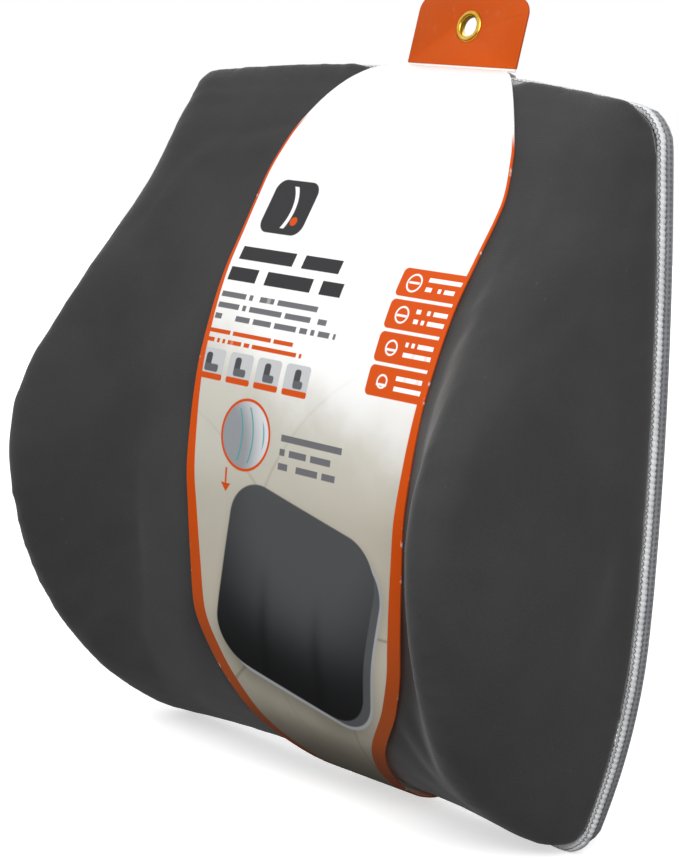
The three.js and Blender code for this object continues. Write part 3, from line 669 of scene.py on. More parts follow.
def finish_piece(piece, material, nodes=(), body="cushion"):
    """Gives a finished piece its material and its body, and hides the CAD nodes that it stands for."""
    piece.data.materials.clear()
    piece.data.materials.append(material)
    if nodes:
        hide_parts(*nodes)
    if body:
        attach(piece, body)
    return piece


# ---------------------------------------------------------------- the cushion's outline
class Outline:
    """The edge round the back of the cushion, anticlockwise as seen from the front."""

    STEPS = 1600

    def __init__(self, node):
        mesh = bmesh.new()
        mesh.from_mesh(bpy.data.objects[node].data)
        bmesh.ops.remove_doubles(mesh, verts=mesh.verts, dist=1e-6)
        mesh.normal_update()
        middle = sum((v.co for v in mesh.verts), Vector()) / len(mesh.verts)
        edges = [e for e in mesh.edges if self.is_outer(e, middle)]
        beside = {}
        for edge in edges:
            for vertex in edge.verts:
                beside.setdefault(vertex, []).append(edge.other_vert(vertex))
        corner = min(beside, key=lambda v: (abs(v.co.x - middle.x), v.co.z))
        walk = [corner]
        while True:
            onward = [v for v in beside[walk[-1]] if v not in walk[-2:]]
            if not onward or onward[0] is corner:
                break
            walk.append(onward[0])
        points = np.array([(v.co.x, v.co.z) for v in walk])
        mesh.free()
        ahead = np.roll(points, -1, 0)
        if (points[:, 0] * ahead[:, 1] - ahead[:, 0] * points[:, 1]).sum() < 0:
            points = points[::-1]
        self.points = self.even(self.rounded(points))
        before, after = np.roll(self.points, 1, 0), np.roll(self.points, -1, 0)
        tangent = (after - before) / np.linalg.norm(after - before, axis=1)[:, None]
        self.normals = np.stack([tangent[:, 1], -tangent[:, 0]], 1)
        self.length = np.linalg.norm(after - self.points, axis=1).sum()

    @staticmethod
    def is_outer(edge, middle):
        if len(edge.link_faces) != 2:
            return False
        back, side = sorted(edge.link_faces, key=lambda f: -f.normal.y)
        away = (edge.verts[0].co + edge.verts[1].co) / 2 - middle
        return back.normal.y > 0.9 and abs(side.normal.y) < 0.5 and side.normal.dot(away) > 0

    @staticmethod
    def rounded(points, steps=8):
        """A smooth closed curve through the points."""
        p0, p1, p2, p3 = (np.roll(points, shift, 0)[:, None, :] for shift in (1, 0, -1, -2))
        t = (np.arange(steps) / steps)[None, :, None]
        curve = p1 + (p2 - p0) * t / 2 + (2 * p0 - 5 * p1 + 4 * p2 - p3) * t ** 2 / 2
        curve = curve + (3 * p1 - p0 - 3 * p2 + p3) * t ** 3 / 2
        return curve.reshape(-1, 2)

    def even(self, points):
        """The same curve in equal steps."""
        closed = np.vstack([points, points[:1]])
        way = np.concatenate([[0], np.cumsum(np.linalg.norm(np.diff(closed, axis=0), axis=1))])
        at = np.linspace(0, way[-1], self.STEPS, endpoint=False)
        return np.stack([np.interp(at, way, closed[:, k]) for k in (0, 1)], 1)

    def at(self, distance, values):
        step = np.mod(distance / self.length, 1.0) * self.STEPS
        low = np.floor(step).astype(int) % self.STEPS
        share = (step - np.floor(step))[:, None]
        return values[low] * (1 - share) + values[(low + 1) % self.STEPS] * share

    def wrap(self, piece, back):
        """Lays a straight strip round the outline: its X runs along, its Y outwards and its Z to the back."""
        local = points_of(piece)
        foot = self.at(local[:, 0], self.points)
        out = self.at(local[:, 0], self.normals)
        flat = foot + out * local[:, 1:2]
        layer = piece.data.uv_layers.new(name="along")
        at = [loop.vertex_index for loop in piece.data.loops]
        map_points = np.stack([local[at, 0], local[at, 2] - local[at, 1]], 1) * 10
        layer.data.foreach_set("uv", map_points.astype(np.float32).ravel())
        move_points(piece, np.stack([flat[:, 0], back + local[:, 2], flat[:, 1]], 1))

    def depth_inside(self, points):
        """How far places (x, z) lie inside the outline."""
        result = np.empty(len(points))
        for i in range(0, len(points), 4000):
            part = points[i:i + 4000, None, :] - self.points[None, ::8, :]
            result[i:i + 4000] = np.sqrt((part ** 2).sum(2).min(1))
        return result


def repeat(piece, count, step, merge=True):
    """Repeats a unit along X."""
    add_modifier(piece, "ARRAY", count=count, use_relative_offset=False, use_constant_offset=True,
                 constant_offset_displace=(step, 0, 0), use_merge_vertices=merge, merge_threshold=1e-5)


def close_ring(piece):
    edit(piece)
    bpy.ops.mesh.remove_doubles(threshold=2e-5)
    done()


# ---------------------------------------------------------------- padded cover, liner and foam
VOXEL = 4.5 * MM
PAST_SEAM = 14 * MM  # the skin runs on this far behind its seam until it is cut
START_INSET = 1.5 * MM
SWELL_CAP = 4 * MM
FREE_PLAY = (-0.9 * MM, 1.1 * MM)  # how far the cloth may lie inside or outside the frame's surface
COVER_SKIN = 1.4 * MM
TOP_SWELL = (0.3 * MM, 5.0 * MM)  # how far the top edge swells under the card and beside it
SWELL_STARTS = (2 * MM, 22 * MM)  # where beside the tab it starts and where it is full
SEAM_HOLDS = (-1 * MM, 7 * MM)  # how near the seam the swell is held down
FRONT_STARTS = (30 * MM, 60 * MM)  # how far in front of the seam the flutes begin
GATHER_PITCHES = (9 * MM, 23 * MM)
GATHER_DEPTH = 0.25 * MM
TUCK_DEPTH = 0.7 * MM

# flutes down the front: middle and width as shares of half the width, depth,
# bottom and top as shares of the height
FLUTES = (
    (-0.60, 0.05, 2.4 * MM, 0.10, 0.62),
    (0.62, 0.05, 1.6 * MM, 0.10, 0.60),
    (-0.28, 0.07, 1.5 * MM, 0.05, 0.42),
    (0.30, 0.07, 1.2 * MM, 0.05, 0.42),
)


def outer_skin(name):
    """The cover's outer surface, run on past its seam and closed flat across the back."""
    shell = merged_copy("front_cover", name, flat_angle=0)
    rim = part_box("front_cover")[1].y
    edit(shell)
    pick("faces", lambda f: f.normal.y > 0.9 and f.calc_center_median().y > rim - 0.1 * MM)
    bpy.ops.mesh.delete(type="FACE")
    bpy.ops.mesh.select_all(action="SELECT")
    bpy.ops.mesh.separate(type="LOOSE")
    done()
    parts = sorted(bpy.context.selected_objects, key=lambda o: -o.dimensions.x)
    for inner in parts[1:]:
        bpy.data.objects.remove(inner)
    piece = parts[0]
    edit(piece, "EDGE")
    pick("edges", lambda e: e.is_boundary)
    bpy.ops.mesh.extrude_region_move(TRANSFORM_OT_translate={"value": (0, PAST_SEAM, 0)})
    bpy.ops.mesh.edge_face_add()
    bpy.ops.mesh.select_all(action="SELECT")
    bpy.ops.mesh.normals_make_consistent(inside=False)
    done()
    piece.name = name
    return piece


def inflate(piece, held_above):
    """Cloth under a little air pressure, held behind the seam, with a cap on how far it may swell."""
    rest = points_of(piece)
    group = piece.vertex_groups.new(name="sewn")
    group.add([int(i) for i in np.flatnonzero(rest[:, 1] > held_above)], 1.0, "REPLACE")
    cloth = piece.modifiers.new("cloth", "CLOTH")
    cloth.settings.quality = 5
    cloth.settings.mass = 0.3
    cloth.settings.tension_stiffness = 12
    cloth.settings.bending_stiffness = 0.6
    cloth.settings.use_pressure = True
    cloth.settings.uniform_pressure_force = 4
    cloth.settings.vertex_group_mass = "sewn"
    cloth.settings.effector_weights.gravity = 0
    cloth.collision_settings.use_self_collision = False
    cloth.point_cache.frame_start = 1
    cloth.point_cache.frame_end = 20
    for step in range(1, 21):
        bpy.context.scene.frame_set(step)
    shaped = piece.evaluated_get(bpy.context.evaluated_depsgraph_get()).data
    swollen = np.array([v.co for v in shaped.vertices], float).reshape(-1, 3)
    move = swollen - rest
    size = np.maximum(np.linalg.norm(move, axis=1), 1e-9)[:, None]
    piece.modifiers.remove(cloth)
    move_points(piece, rest + move * np.minimum(1, SWELL_CAP / size))
    bpy.context.scene.frame_set(1)


def hold_near(piece, tree, low, high):
    """Keeps each point of a soft surface within some play of the frame's own surface."""
    points = points_of(piece)
    for i, point in enumerate(points):
        near, normal, _, _ = tree.find_nearest(Vector(point))
        off = Vector(point) - near
        gap = off.length * (1 if off.dot(normal) > 0 else -1)
        wanted = min(max(gap, low), high)
        if wanted != gap:
            outward = off.normalized() * (1 if gap > 0 else -1) if off.length > 1e-6 else normal
            points[i] = near + outward * wanted
    move_points(piece, points)


def soft_step(value, low, high):
    share = np.clip((value - low) / (high - low), 0, 1)
    return share * share * (3 - 2 * share)


def sew_details(piece, outline):
    """Flutes down the front, the swell over the top edge and the small gathers along the seam."""
    points = points_of(piece)
    normals = normals_of(piece)
    low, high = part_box("front_cover")
    tab_low, tab_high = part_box("hang_tab")
    share_x = points[:, 0] / (high.x - low.x) * 2
    share_z = (points[:, 2] - low.z) / (high.z - low.z)
    from_seam = high.y - points[:, 1]
    front = soft_step(from_seam, *FRONT_STARTS)
    sunk = np.zeros(len(points))
    for middle, width, depth, bottom, top in FLUTES:
        lane = np.exp(-((share_x - middle) / width) ** 2)
        reach = soft_step(share_z, bottom, bottom + 0.15) * (1 - soft_step(share_z, top - 0.22, top))
        sunk += depth * lane * reach
    beside_tab = np.maximum(tab_low.x - points[:, 0], points[:, 0] - tab_high.x)
    rise = TOP_SWELL[0] + (TOP_SWELL[1] - TOP_SWELL[0]) * soft_step(beside_tab, *SWELL_STARTS)
    crown = rise * soft_step(normals[:, 2], 0.5, 0.95) * soft_step(share_z, 0.85, 0.95)
    crown = crown * soft_step(from_seam, *SEAM_HOLDS)
    offset = points[:, None, [0, 2]] - outline.points[None, ::8, :]
    nearest = np.argmin((offset ** 2).sum(2), 1) * 8 / outline.STEPS * outline.length
    fine, coarse = (np.sin(nearest / pitch * 2 * math.pi) for pitch in GATHER_PITCHES)
    gather = fine + 0.6 * coarse
    pulled = GATHER_DEPTH * gather * np.exp(-from_seam / (8 * MM)) * soft_step(from_seam, 0, 2 * MM)
    tucked = TUCK_DEPTH * np.exp(-np.maximum(from_seam, 0) / (1.8 * MM))
    move_points(piece, points - normals * (sunk * front - pulled + tucked - crown)[:, None])


def make_cover(outline, material):
    """The knit cover: one even skin, swollen a little, cut at its seam and given its thickness."""
    piece = outer_skin("cover_pad")
    tree = BVHTree.FromObject(piece, bpy.context.evaluated_depsgraph_get())
    add_modifier(piece, "REMESH", mode="VOXEL", voxel_size=VOXEL, use_smooth_shade=True)
    seam_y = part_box("front_cover")[1].y
    rest = points_of(piece)
    loose = soft_step(seam_y - rest[:, 1], 0, 12 * MM)[:, None]
    move_points(piece, rest - normals_of(piece) * START_INSET * loose)
    inflate(piece, seam_y - 2 * MM)
    add_modifier(piece, "SMOOTH", factor=0.5, iterations=5)
    hold_near(piece, tree, *FREE_PLAY)
    add_modifier(piece, "SMOOTH", factor=0.5, iterations=2)
    subdivide(piece)
    edit(piece)
    cut((0, seam_y, 0), (0, 1, 0), clear_outer=True)
    done()
    sew_details(piece, outline)
    add_modifier(piece, "SOLIDIFY", thickness=COVER_SKIN, offset=-1)
    smooth(piece)
    finish_piece(piece, material, ["front_cover"])


def make_foam_and_liner(foam, lining):
    core = merged_copy("foam_core", "foam_block", flat_angle=0)
    round_edges(core, 3 * MM, 2, 50)
    subdivide(core)
    smooth(core)
    finish_piece(core, foam, ["foam_core"])
    bag = merged_copy("inner_liner", "liner_bag", flat_angle=0)
    subdivide(bag)
    smooth(bag, 50)
    finish_piece(bag, lining, ["inner_liner"])


# ---------------------------------------------------------------- piping, band and their stitches
BEAD = 2.5 * MM
THREAD = 0.2 * MM


def make_piping(outline, material):
    """Gathered piping: one bead, pinched at its ends, repeated round the edge."""
    low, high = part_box("front_piping")
    radius = (high.y - low.y) / 2
    count = round(outline.length / BEAD)
    pitch = outline.length / count
    bead = start("piping_gathers", bpy.ops.mesh.primitive_cylinder_add, vertices=10, radius=radius,
                 depth=pitch, end_fill_type="NOTHING", rotation=(0, math.pi / 2, 0))
    edit(bead)
    for share in (-0.25, 0.25):
        cut((share * pitch, 0, 0), (1, 0, 0))
    pick("verts", lambda v: abs(v.co.x) > 0.4 * pitch)
    bpy.ops.transform.resize(value=(1, 0.80, 0.80))
    done()
    repeat(bead, count, pitch)
    local = points_of(bead)
    ripple = 0.12 * MM * np.sin(local[:, 0] / (17 * MM)) * np.cos(local[:, 0] / (4.1 * MM))
    local[:, 1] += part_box("front_piping")[1].x - outline.points[:, 0].max() - radius + ripple
    move_points(bead, local)
    outline.wrap(bead, (low.y + high.y) / 2)
    close_ring(bead)
    smooth(bead)
    finish_piece(bead, material, ["front_piping"])
    return count


def zigzag(name, outline, count, back, inner, outer, reach, flip, material):
    """A zigzag seam: one V of thread repeated round the edge, from one cloth over to the other."""
    pitch = outline.length / count
    legs = []
    for side in (-1, 1):
        near = Vector((side * pitch / 2, inner, -flip * reach))
        far = Vector((0, outer, flip * reach))
        along = far - near
        leg = start(name, bpy.ops.mesh.primitive_cylinder_add, vertices=6, radius=THREAD,
                    depth=along.length + THREAD, location=(near + far) / 2,
                    rotation=along.to_track_quat("Z", "Y").to_euler())
        edit(leg)
        pick("faces", lambda f: len(f.verts) > 4)
        bpy.ops.transform.resize(value=(0.7, 0.7, 0.7))
        done()
        legs.append(leg)
    seam = join(legs, name)
    repeat(seam, count, pitch, merge=False)
    outline.wrap(seam, back)
    smooth(seam, 60)
    return finish_piece(seam, material)


def make_corner_pleat(outline, material):
    """The small leaf of cloth where the piping's ends are tucked in, at the lower right corner."""
    low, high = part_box("front_piping")
    corner = np.argmax(outline.points[:, 0] * 0.7 - outline.points[:, 1])
    at = outline.length * corner / outline.STEPS
    length, width, thickness = 17 * MM, 5.4 * MM, 2.6 * MM
    leaf = start("corner_pleat", bpy.ops.mesh.primitive_uv_sphere_add, segments=20, ring_count=16,
                 radius=0.5)
    edit(leaf)
    bpy.ops.transform.resize(value=(length, thickness, width))
    pick("verts", lambda v: abs(v.co.x) > 0.3 * length)
    bpy.ops.transform.resize(value=(1.05, 0.7, 0.6))
    pick("verts", lambda v: abs(v.co.z) < 0.05 * width and v.co.y > 0)
    bpy.ops.transform.translate(value=(0, -0.5 * MM, 0))
    done()
    leaf.data.transform(Matrix.Translation((at, high.x - outline.points[:, 0].max() - 0.6 * MM, 0)))
    leaf.data.uv_layers.remove(leaf.data.uv_layers[0])
    outline.wrap(leaf, (low.y + high.y) / 2 + 0.6 * MM)
    smooth(leaf)
    finish_piece(leaf, material)


def make_band(outline, material):
    """Mesh band: a crowned strip whose edges turn in, laid round the back edge."""
    low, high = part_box("side_band")
    depth = high.y - low.y
    thickness = 2 * MM
    count = 260
    pitch = outline.length / count
    strip = block("mesh_band", (0, -thickness, -depth / 2), (pitch, 0, depth / 2))
    edit(strip)
    pick("faces", lambda f: abs(f.normal.x) > 0.9)
    bpy.ops.mesh.delete(type="FACE")
    for share in (-0.32, 0, 0.32):
        cut((0, 0, share * depth), (0, 0, 1))
    pick("verts", lambda v: v.co.y > -0.1 * MM and abs(v.co.z) > 0.45 * depth)
    bpy.ops.transform.translate(value=(0, -0.7 * MM, 0))
    pick("verts", lambda v: v.co.y > -0.1 * MM and abs(v.co.z) < 0.1 * depth)
    bpy.ops.transform.translate(value=(0, 0.25 * MM, 0))
    done()
    repeat(strip, count, pitch)
    outline.wrap(strip, (low.y + high.y) / 2)
    close_ring(strip)
    smooth(strip, 50)
    finish_piece(strip, material, ["side_band"])


# ---------------------------------------------------------------- back panels
def make_back_panel(node, name, outline, material):
    """A mesh panel that sinks a little towards its seams, cut into a grid so that it can."""
    low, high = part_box(node)
    panel = merged_copy(node, name)
    grid = 11 * MM
    edit(panel)
    for axis, normal in ((0, (1, 0, 0)), (2, (0, 0, 1))):
        cuts = math.ceil((high[axis] - low[axis]) / grid)
        for step in range(1, cuts):
            place = list(low)
            place[axis] = low[axis] + (high[axis] - low[axis]) * step / cuts
            cut(place, normal)
    done()
    points = points_of(panel)
    below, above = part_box("back_panel_lower")[1].z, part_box("back_panel_upper")[0].z
    zip_middle = (below + above) / 2
    from_zip = abs(points[:, 2] - zip_middle) - (above - zip_middle)
    inside = np.minimum(outline.depth_inside(points[:, [0, 2]]) - 2.3 * MM, from_zip)
    sink = 0.9 * MM * np.exp(-np.maximum(inside, 0) / (5 * MM))
    points[:, 1] -= sink * (points[:, 1] > (low.y + high.y) / 2)
    move_points(panel, points)
    round_edges(panel, 0.4 * MM, 2, 45)
    smooth(panel, 40)
    finish_piece(panel, material, [node])


def stitch_line(name, start_point, end_point, pitch, thread, share=0.65):
    """Short stitches in a straight line."""
    first, last = Vector(start_point), Vector(end_point)
    length = (last - first).length
    count = max(2, round(length / pitch))
    step = length / count
    unit = start(name, bpy.ops.mesh.primitive_cylinder_add, vertices=6, radius=thread, depth=step * share,
                 location=(step / 2, 0, 0), rotation=(0, math.pi / 2, 0))
    edit(unit)
    pick("faces", lambda f: len(f.verts) > 4)
    bpy.ops.mesh.extrude_region_move(TRANSFORM_OT_translate={"value": (0, 0, 0)})
    bpy.ops.transform.resize(value=(1, 0.45, 0.45))
    pick("verts", lambda v: abs(v.co.x - step / 2) > step * share * 0.4)
    bpy.ops.transform.translate(value=(0, -thread * 0.7, 0))
    done()
    repeat(unit, count, step, merge=False)
    way = (last - first).normalized()
    turn = Matrix((way, Vector((0, 1, 0)), way.cross(Vector((0, 1, 0))))).transposed().to_4x4()
    unit.data.transform(Matrix.Translation(first) @ turn)
    return unit


def back_topstitch(outline, material):
    """A row of stitches that holds the back mesh along the band."""
    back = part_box("back_panel_upper")[1].y
    pitch = 4.2 * MM
    count = round(outline.length / pitch)
    pitch = outline.length / count
    unit = stitch_line("back_topstitch", (0, 0, 0), (2 * pitch, 0, 0), pitch, 0.3 * MM)
    points = points_of(unit)
    points[:, [1, 2]] = np.stack([points[:, 2], points[:, 1]], 1)
    move_points(unit, points)
    edit(unit)
    bpy.ops.mesh.normals_make_consistent(inside=False)
    done()
    repeat(unit, count // 2, 2 * pitch, merge=False)
    local = points_of(unit)
    local[:, 1] -= 5.5 * MM
    local[:, 0] *= outline.length / (2 * pitch * (count // 2))
    move_points(unit, local)
    outline.wrap(unit, back - 0.42 * MM)
    smooth(unit, 60)
    finish_piece(unit, material)


# ---------------------------------------------------------------- zipper
def make_zipper(cloth, plastic, metal):
    """Two coils of small teeth on their tapes, the stops at both ends, the slider and its pull."""
    pitch = 1.25 * MM
    for level, shift in (("upper", 0.0), ("lower", 0.5)):
        low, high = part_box(f"zipper_coil_{level}")
        width, thick = high.z - low.z, high.y - low.y
        count = int((high.x - low.x) / pitch) - 1
        tooth = start(f"coil_{level}", bpy.ops.mesh.primitive_cylinder_add, vertices=8, radius=pitch * 0.44,
                      depth=width, location=(low.x + pitch, (low.y + high.y) / 2, (low.z + high.z) / 2))
        edit(tooth)
        for share in (0.3, 0.7):
            cut((0, 0, low.z + width * share), (0, 0, 1))
        bpy.ops.mesh.select_all(action="SELECT")
        bpy.ops.transform.resize(value=(0.72, thick / pitch / 0.88, 1))
        inner = low.z if level == "upper" else high.z
        pick("verts", lambda v: abs(v.co.z - inner) < 0.1 * width)
        bpy.ops.transform.resize(value=(1.35, 0.75, 1))
        done()
        repeat(tooth, count, pitch, merge=False)
        tooth.data.transform(Matrix.Translation((shift * pitch, 0, 0)))
        smooth(tooth, 50)
        finish_piece(tooth, plastic, [f"zipper_coil_{level}"])
        tape = eased(f"zipper_tape_{level}", f"tape_{level}", 0.25)
        finish_piece(tape, cloth, [f"zipper_tape_{level}"])
    for side in ("left", "right"):
        stop = eased(f"zipper_stop_{side}", f"stop_{side}", 0.5, 3)
        finish_piece(stop, metal, [f"zipper_stop_{side}"])
    for node, body, width in (("zipper_slider", "slider", 0.3), ("zipper_pull", "pull", 0.25)):
        part = eased(node, node.replace("zipper", "metal"), width)
        finish_piece(part, metal, [node], body)


# ---------------------------------------------------------------- strap, buckle, keeper and label
WEBBING_RIPPLE = 0.12 * MM


def make_webbing(node, name, material, body="cushion"):
    """Woven webbing: a flat bar cut into short lengths, its selvedges rounded and its faces rippled."""
    low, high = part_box(node)
    strip = block(name, low, high)
    cuts = max(4, round((high.x - low.x) / (4 * MM)))
    edit(strip)
    for step in range(1, cuts):
        cut((low.x + (high.x - low.x) * step / cuts, 0, 0), (1, 0, 0))
    for share in (0.08, 0.5, 0.92):
        cut((0, 0, low.z + (high.z - low.z) * share), (0, 0, 1))
    done()
    points = points_of(strip)
    middle = (low + high) / 2
    edge = abs(points[:, 2] - middle.z) > 0.49 * (high.z - low.z)
    points[:, 1] = np.where(edge, middle.y + (points[:, 1] - middle.y) * 0.45, points[:, 1])
    points[:, 1] += WEBBING_RIPPLE * np.sin(points[:, 0] / (9 * MM)) * (points[:, 1] > middle.y)
    move_points(strip, points)
    smooth(strip, 60)
    return finish_piece(strip, material, [node], body)


def make_patch(side, material, thread):
    """The anchor patch under the strap's end, with a cross-stitched box through the webbing."""
    node = f"strap_patch_{side}"
    patch = eased(node, f"anchor_{side}", 0.35)
    finish_piece(patch, material, [node])
    strap_low, strap_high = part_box("strap_long" if side == "right" else "strap_short")
    low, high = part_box(node)
    x0, x1 = max(low.x, strap_low.x) + 2.5 * MM, min(high.x, strap_high.x) - 2.5 * MM
    z0, z1 = strap_low.z + 3 * MM, strap_high.z - 3 * MM
    y = strap_high.y + 0.1 * MM
    lines = [((x0, z0), (x1, z0)), ((x1, z0), (x1, z1)), ((x1, z1), (x0, z1)), ((x0, z1), (x0, z0)),
             ((x0, z0), (x1, z1)), ((x0, z1), (x1, z0))]
    rows = [stitch_line("box", (a[0], y, a[1]), (b[0], y, b[1]), 2.6 * MM, 0.32 * MM) for a, b in lines]
    seam = join(rows, f"box_stitch_{side}")
    smooth(seam, 60)
    finish_piece(seam, thread)


RIB_HALF_WIDTH = 0.4 * MM
RIB_RISE = 0.35 * MM
RIB_SUNK = 0.3 * MM


def make_buckle(plastic):
    """Housing and plug with rounded edges and grip ribs, and the keeper loop."""
    socket_low, plug_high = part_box("buckle_socket")[0].x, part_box("buckle_plug")[1].x
    socket_ribs = [(socket_low + 10 * MM + step * 2.2 * MM, (8 - step) * MM) for step in range(4)]
    plug_ribs = [(plug_high - 5.2 * MM + (step - 1.5) * 0.9 * MM, 9 * MM) for step in range(2)]
    for node, name, body, ribs in (
        ("buckle_socket", "buckle_housing", "cushion", socket_ribs),
        ("buckle_plug", "buckle_tongue", "plug", plug_ribs),
    ):
        low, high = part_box(node)
        middle = (low.z + high.z) / 2
        parts = [merged_copy(node, name)]
        round_edges(parts[0], 0.7 * MM, 3, 50)
        for x, half in ribs:
            rib = block("rib", (x - RIB_HALF_WIDTH, high.y - RIB_SUNK, middle - half),
                        (x + RIB_HALF_WIDTH, high.y + RIB_RISE, middle + half))
            round_edges(rib, 0.3 * MM, 2)
            parts.append(rib)
        part = join(parts, name)
        smooth(part, 35)
        finish_piece(part, plastic, [node], body)
    loop = eased("strap_keeper", "keeper_loop", 0.3, smooth_angle=35)
    finish_piece(loop, plastic, ["strap_keeper"], "keeper")


def make_label(material, thread):
    """A blank woven label, sewn along its top edge and curling a little at its free end."""
    low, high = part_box("care_label")
    size = (high.x - low.x, high.z - low.z)
    label = start("label_blank", bpy.ops.mesh.primitive_grid_add, x_subdivisions=10,
                  y_subdivisions=20, size=1, location=(0, 0, 0))
    points = points_of(label)
    u, v = points[:, 0] + 0.5, points[:, 1] + 0.5
    lift = 0.9 * MM * (1 - v) ** 2 * (0.6 + 0.4 * np.cos(u * 3))
    move_points(label, np.stack([low.x + u * size[0], low.y + 0.12 * MM + lift, low.z + v * size[1]], 1))
    edit(label)
    bpy.ops.mesh.normals_make_consistent(inside=False)
    if bmesh.from_edit_mesh(label.data).faces[:][0].normal.y < 0:
        bpy.ops.mesh.flip_normals()
    done()
    add_modifier(label, "SOLIDIFY", thickness=0.3 * MM, offset=1)
    smooth(label, 40)
    top = high.z - 2 * MM
    seam = stitch_line("label_stitch", (low.x + 1 * MM, low.y + 0.5 * MM, top),
                       (high.x - 1 * MM, low.y + 0.5 * MM, top), 2.4 * MM, 0.25 * MM)
    smooth(seam, 60)
    finish_piece(seam, thread)
    finish_piece(label, material, ["care_label"])


# ---------------------------------------------------------------- card sleeve
def card_rows(node, facing):
    """The outer skin of a bent card, as rows of half width, y and z along its length, from the top end."""
    mesh = bmesh.new()
    mesh.from_mesh(bpy.data.objects[node].data)
    bmesh.ops.remove_doubles(mesh, verts=mesh.verts, dist=1e-6)
    mesh.normal_update()
    low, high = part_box(node)
    heart = Vector(((low.x + high.x) / 2, 0.02, (low.z + high.z) / 2))
    found = set()
    for face in mesh.faces:
        away = face.calc_center_median() - heart
        outer = abs(face.normal.x) < 0.5 and face.normal.dot(away) > 0
        if outer and not (facing * face.normal.y < -0.5):
            found.update(tuple(v.co) for v in face.verts)
    mesh.free()
    rows = np.array([(x - heart.x, y, z) for x, y, z in found if x > heart.x])
    angle = np.arctan2(rows[:, 2] - heart.z, facing * (rows[:, 1] - heart.y))
    return rows[np.argsort(-angle)], heart.x


def curve_through(values, way, at):
    """Smooth values through unevenly spaced rows; straight stretches stay straight and nothing overshoots."""
    secant = np.diff(values, axis=0) / np.diff(way)[:, None]
    before, after = secant[:-1], secant[1:]
    same = before * after > 0
    inner = np.where(same, 2 * before * after / np.where(same, before + after, 1), 0)
    slope = np.vstack([secant[:1], inner, secant[-1:]])
    k = np.clip(np.searchsorted(way, at, side="right") - 1, 0, len(way) - 2)
    span = (way[k + 1] - way[k])[:, None]
    t = (at - way[k])[:, None] / span
    return (values[k] * (2 * t ** 3 - 3 * t ** 2 + 1) + slope[k] * span * (t ** 3 - 2 * t ** 2 + t)
            + values[k + 1] * (3 * t ** 2 - 2 * t ** 3) + slope[k + 1] * span * (t ** 3 - t ** 2))


def make_card(node, name, facing, columns, spacing, material):
    """Card bent along one direction: a flat grid laid along the path, then given its thickness."""
    rows, middle = card_rows(node, facing)
    way = np.concatenate([[0], np.cumsum(np.linalg.norm(np.diff(rows[:, 1:], axis=0), axis=1))])
    count = math.ceil(way[-1] / spacing)
    card = start(name, bpy.ops.mesh.primitive_grid_add, x_subdivisions=columns, y_subdivisions=count, size=1,
                 location=(0, 0, 0))
    flat = points_of(card)
    at = np.clip((0.5 - flat[:, 1]) * way[-1], 0, way[-1])
    half, y, z = curve_through(rows, way, at).T
    across = flat[:, 0] * 2 * half
    move_points(card, np.stack([middle + across, y, z], 1))
    loops = [loop.vertex_index for loop in card.data.loops]
    for map_name, first in (("print", across), ("edge", half - abs(across))):
        layer = card.data.uv_layers.new(name=map_name)
        map_points = np.stack([first[loops], at[loops]], 1) * 10
        layer.data.foreach_set("uv", map_points.astype(np.float32).ravel())
    edit(card)
    mesh = bmesh.from_edit_mesh(card.data)
    mesh.faces.ensure_lookup_table()
    mesh.normal_update()
    centre_face = mesh.faces[len(mesh.faces) // 2]
    if facing * centre_face.normal.y < 0:
        bpy.ops.mesh.flip_normals()
    done()
    add_modifier(card, "SOLIDIFY", thickness=0.6 * MM, offset=-1)
    smooth(card, 40)
    finish_piece(card, material, [node])


def make_tab(orange, card, brass):
    """The hang tab, the small roll of its fold, and the eyelet's two rings."""
    tab = eased("hang_tab", "orange_tab", 0.25, smooth_angle=35)
    finish_piece(tab, orange, ["hang_tab"], "hang_tab")
    low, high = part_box("hang_tab")
    card_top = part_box("sleeve_front")[1]
    fold = ((low.x + high.x) / 2, card_top.y, (low.z + card_top.z) / 2)
    crease = start("tab_crease", bpy.ops.mesh.primitive_cylinder_add, vertices=12, radius=0.5 * MM,
                   depth=high.x - low.x - 1 * MM, location=fold, rotation=(0, math.pi / 2, 0))
    smooth(crease, 60)
    finish_piece(crease, card)
    faces = sorted(bpy.data.objects["hang_tab"].data.polygons, key=lambda p: -p.area)
    front = next(p.normal for p in faces if p.normal.y < -0.5).copy()
    for node, name in (("eyelet", "brass_eyelet"), ("eyelet_washer", "brass_washer")):
        low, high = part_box(node)
        middle = (low + high) / 2
        source = points_of(bpy.data.objects[node])
        axial = (source - np.array(middle)) @ np.array(front)
        radial = np.linalg.norm(source - np.array(middle) - axial[:, None] * np.array(front), axis=1)
        ring_profile(name, node, middle, front, axial, radial, brass)


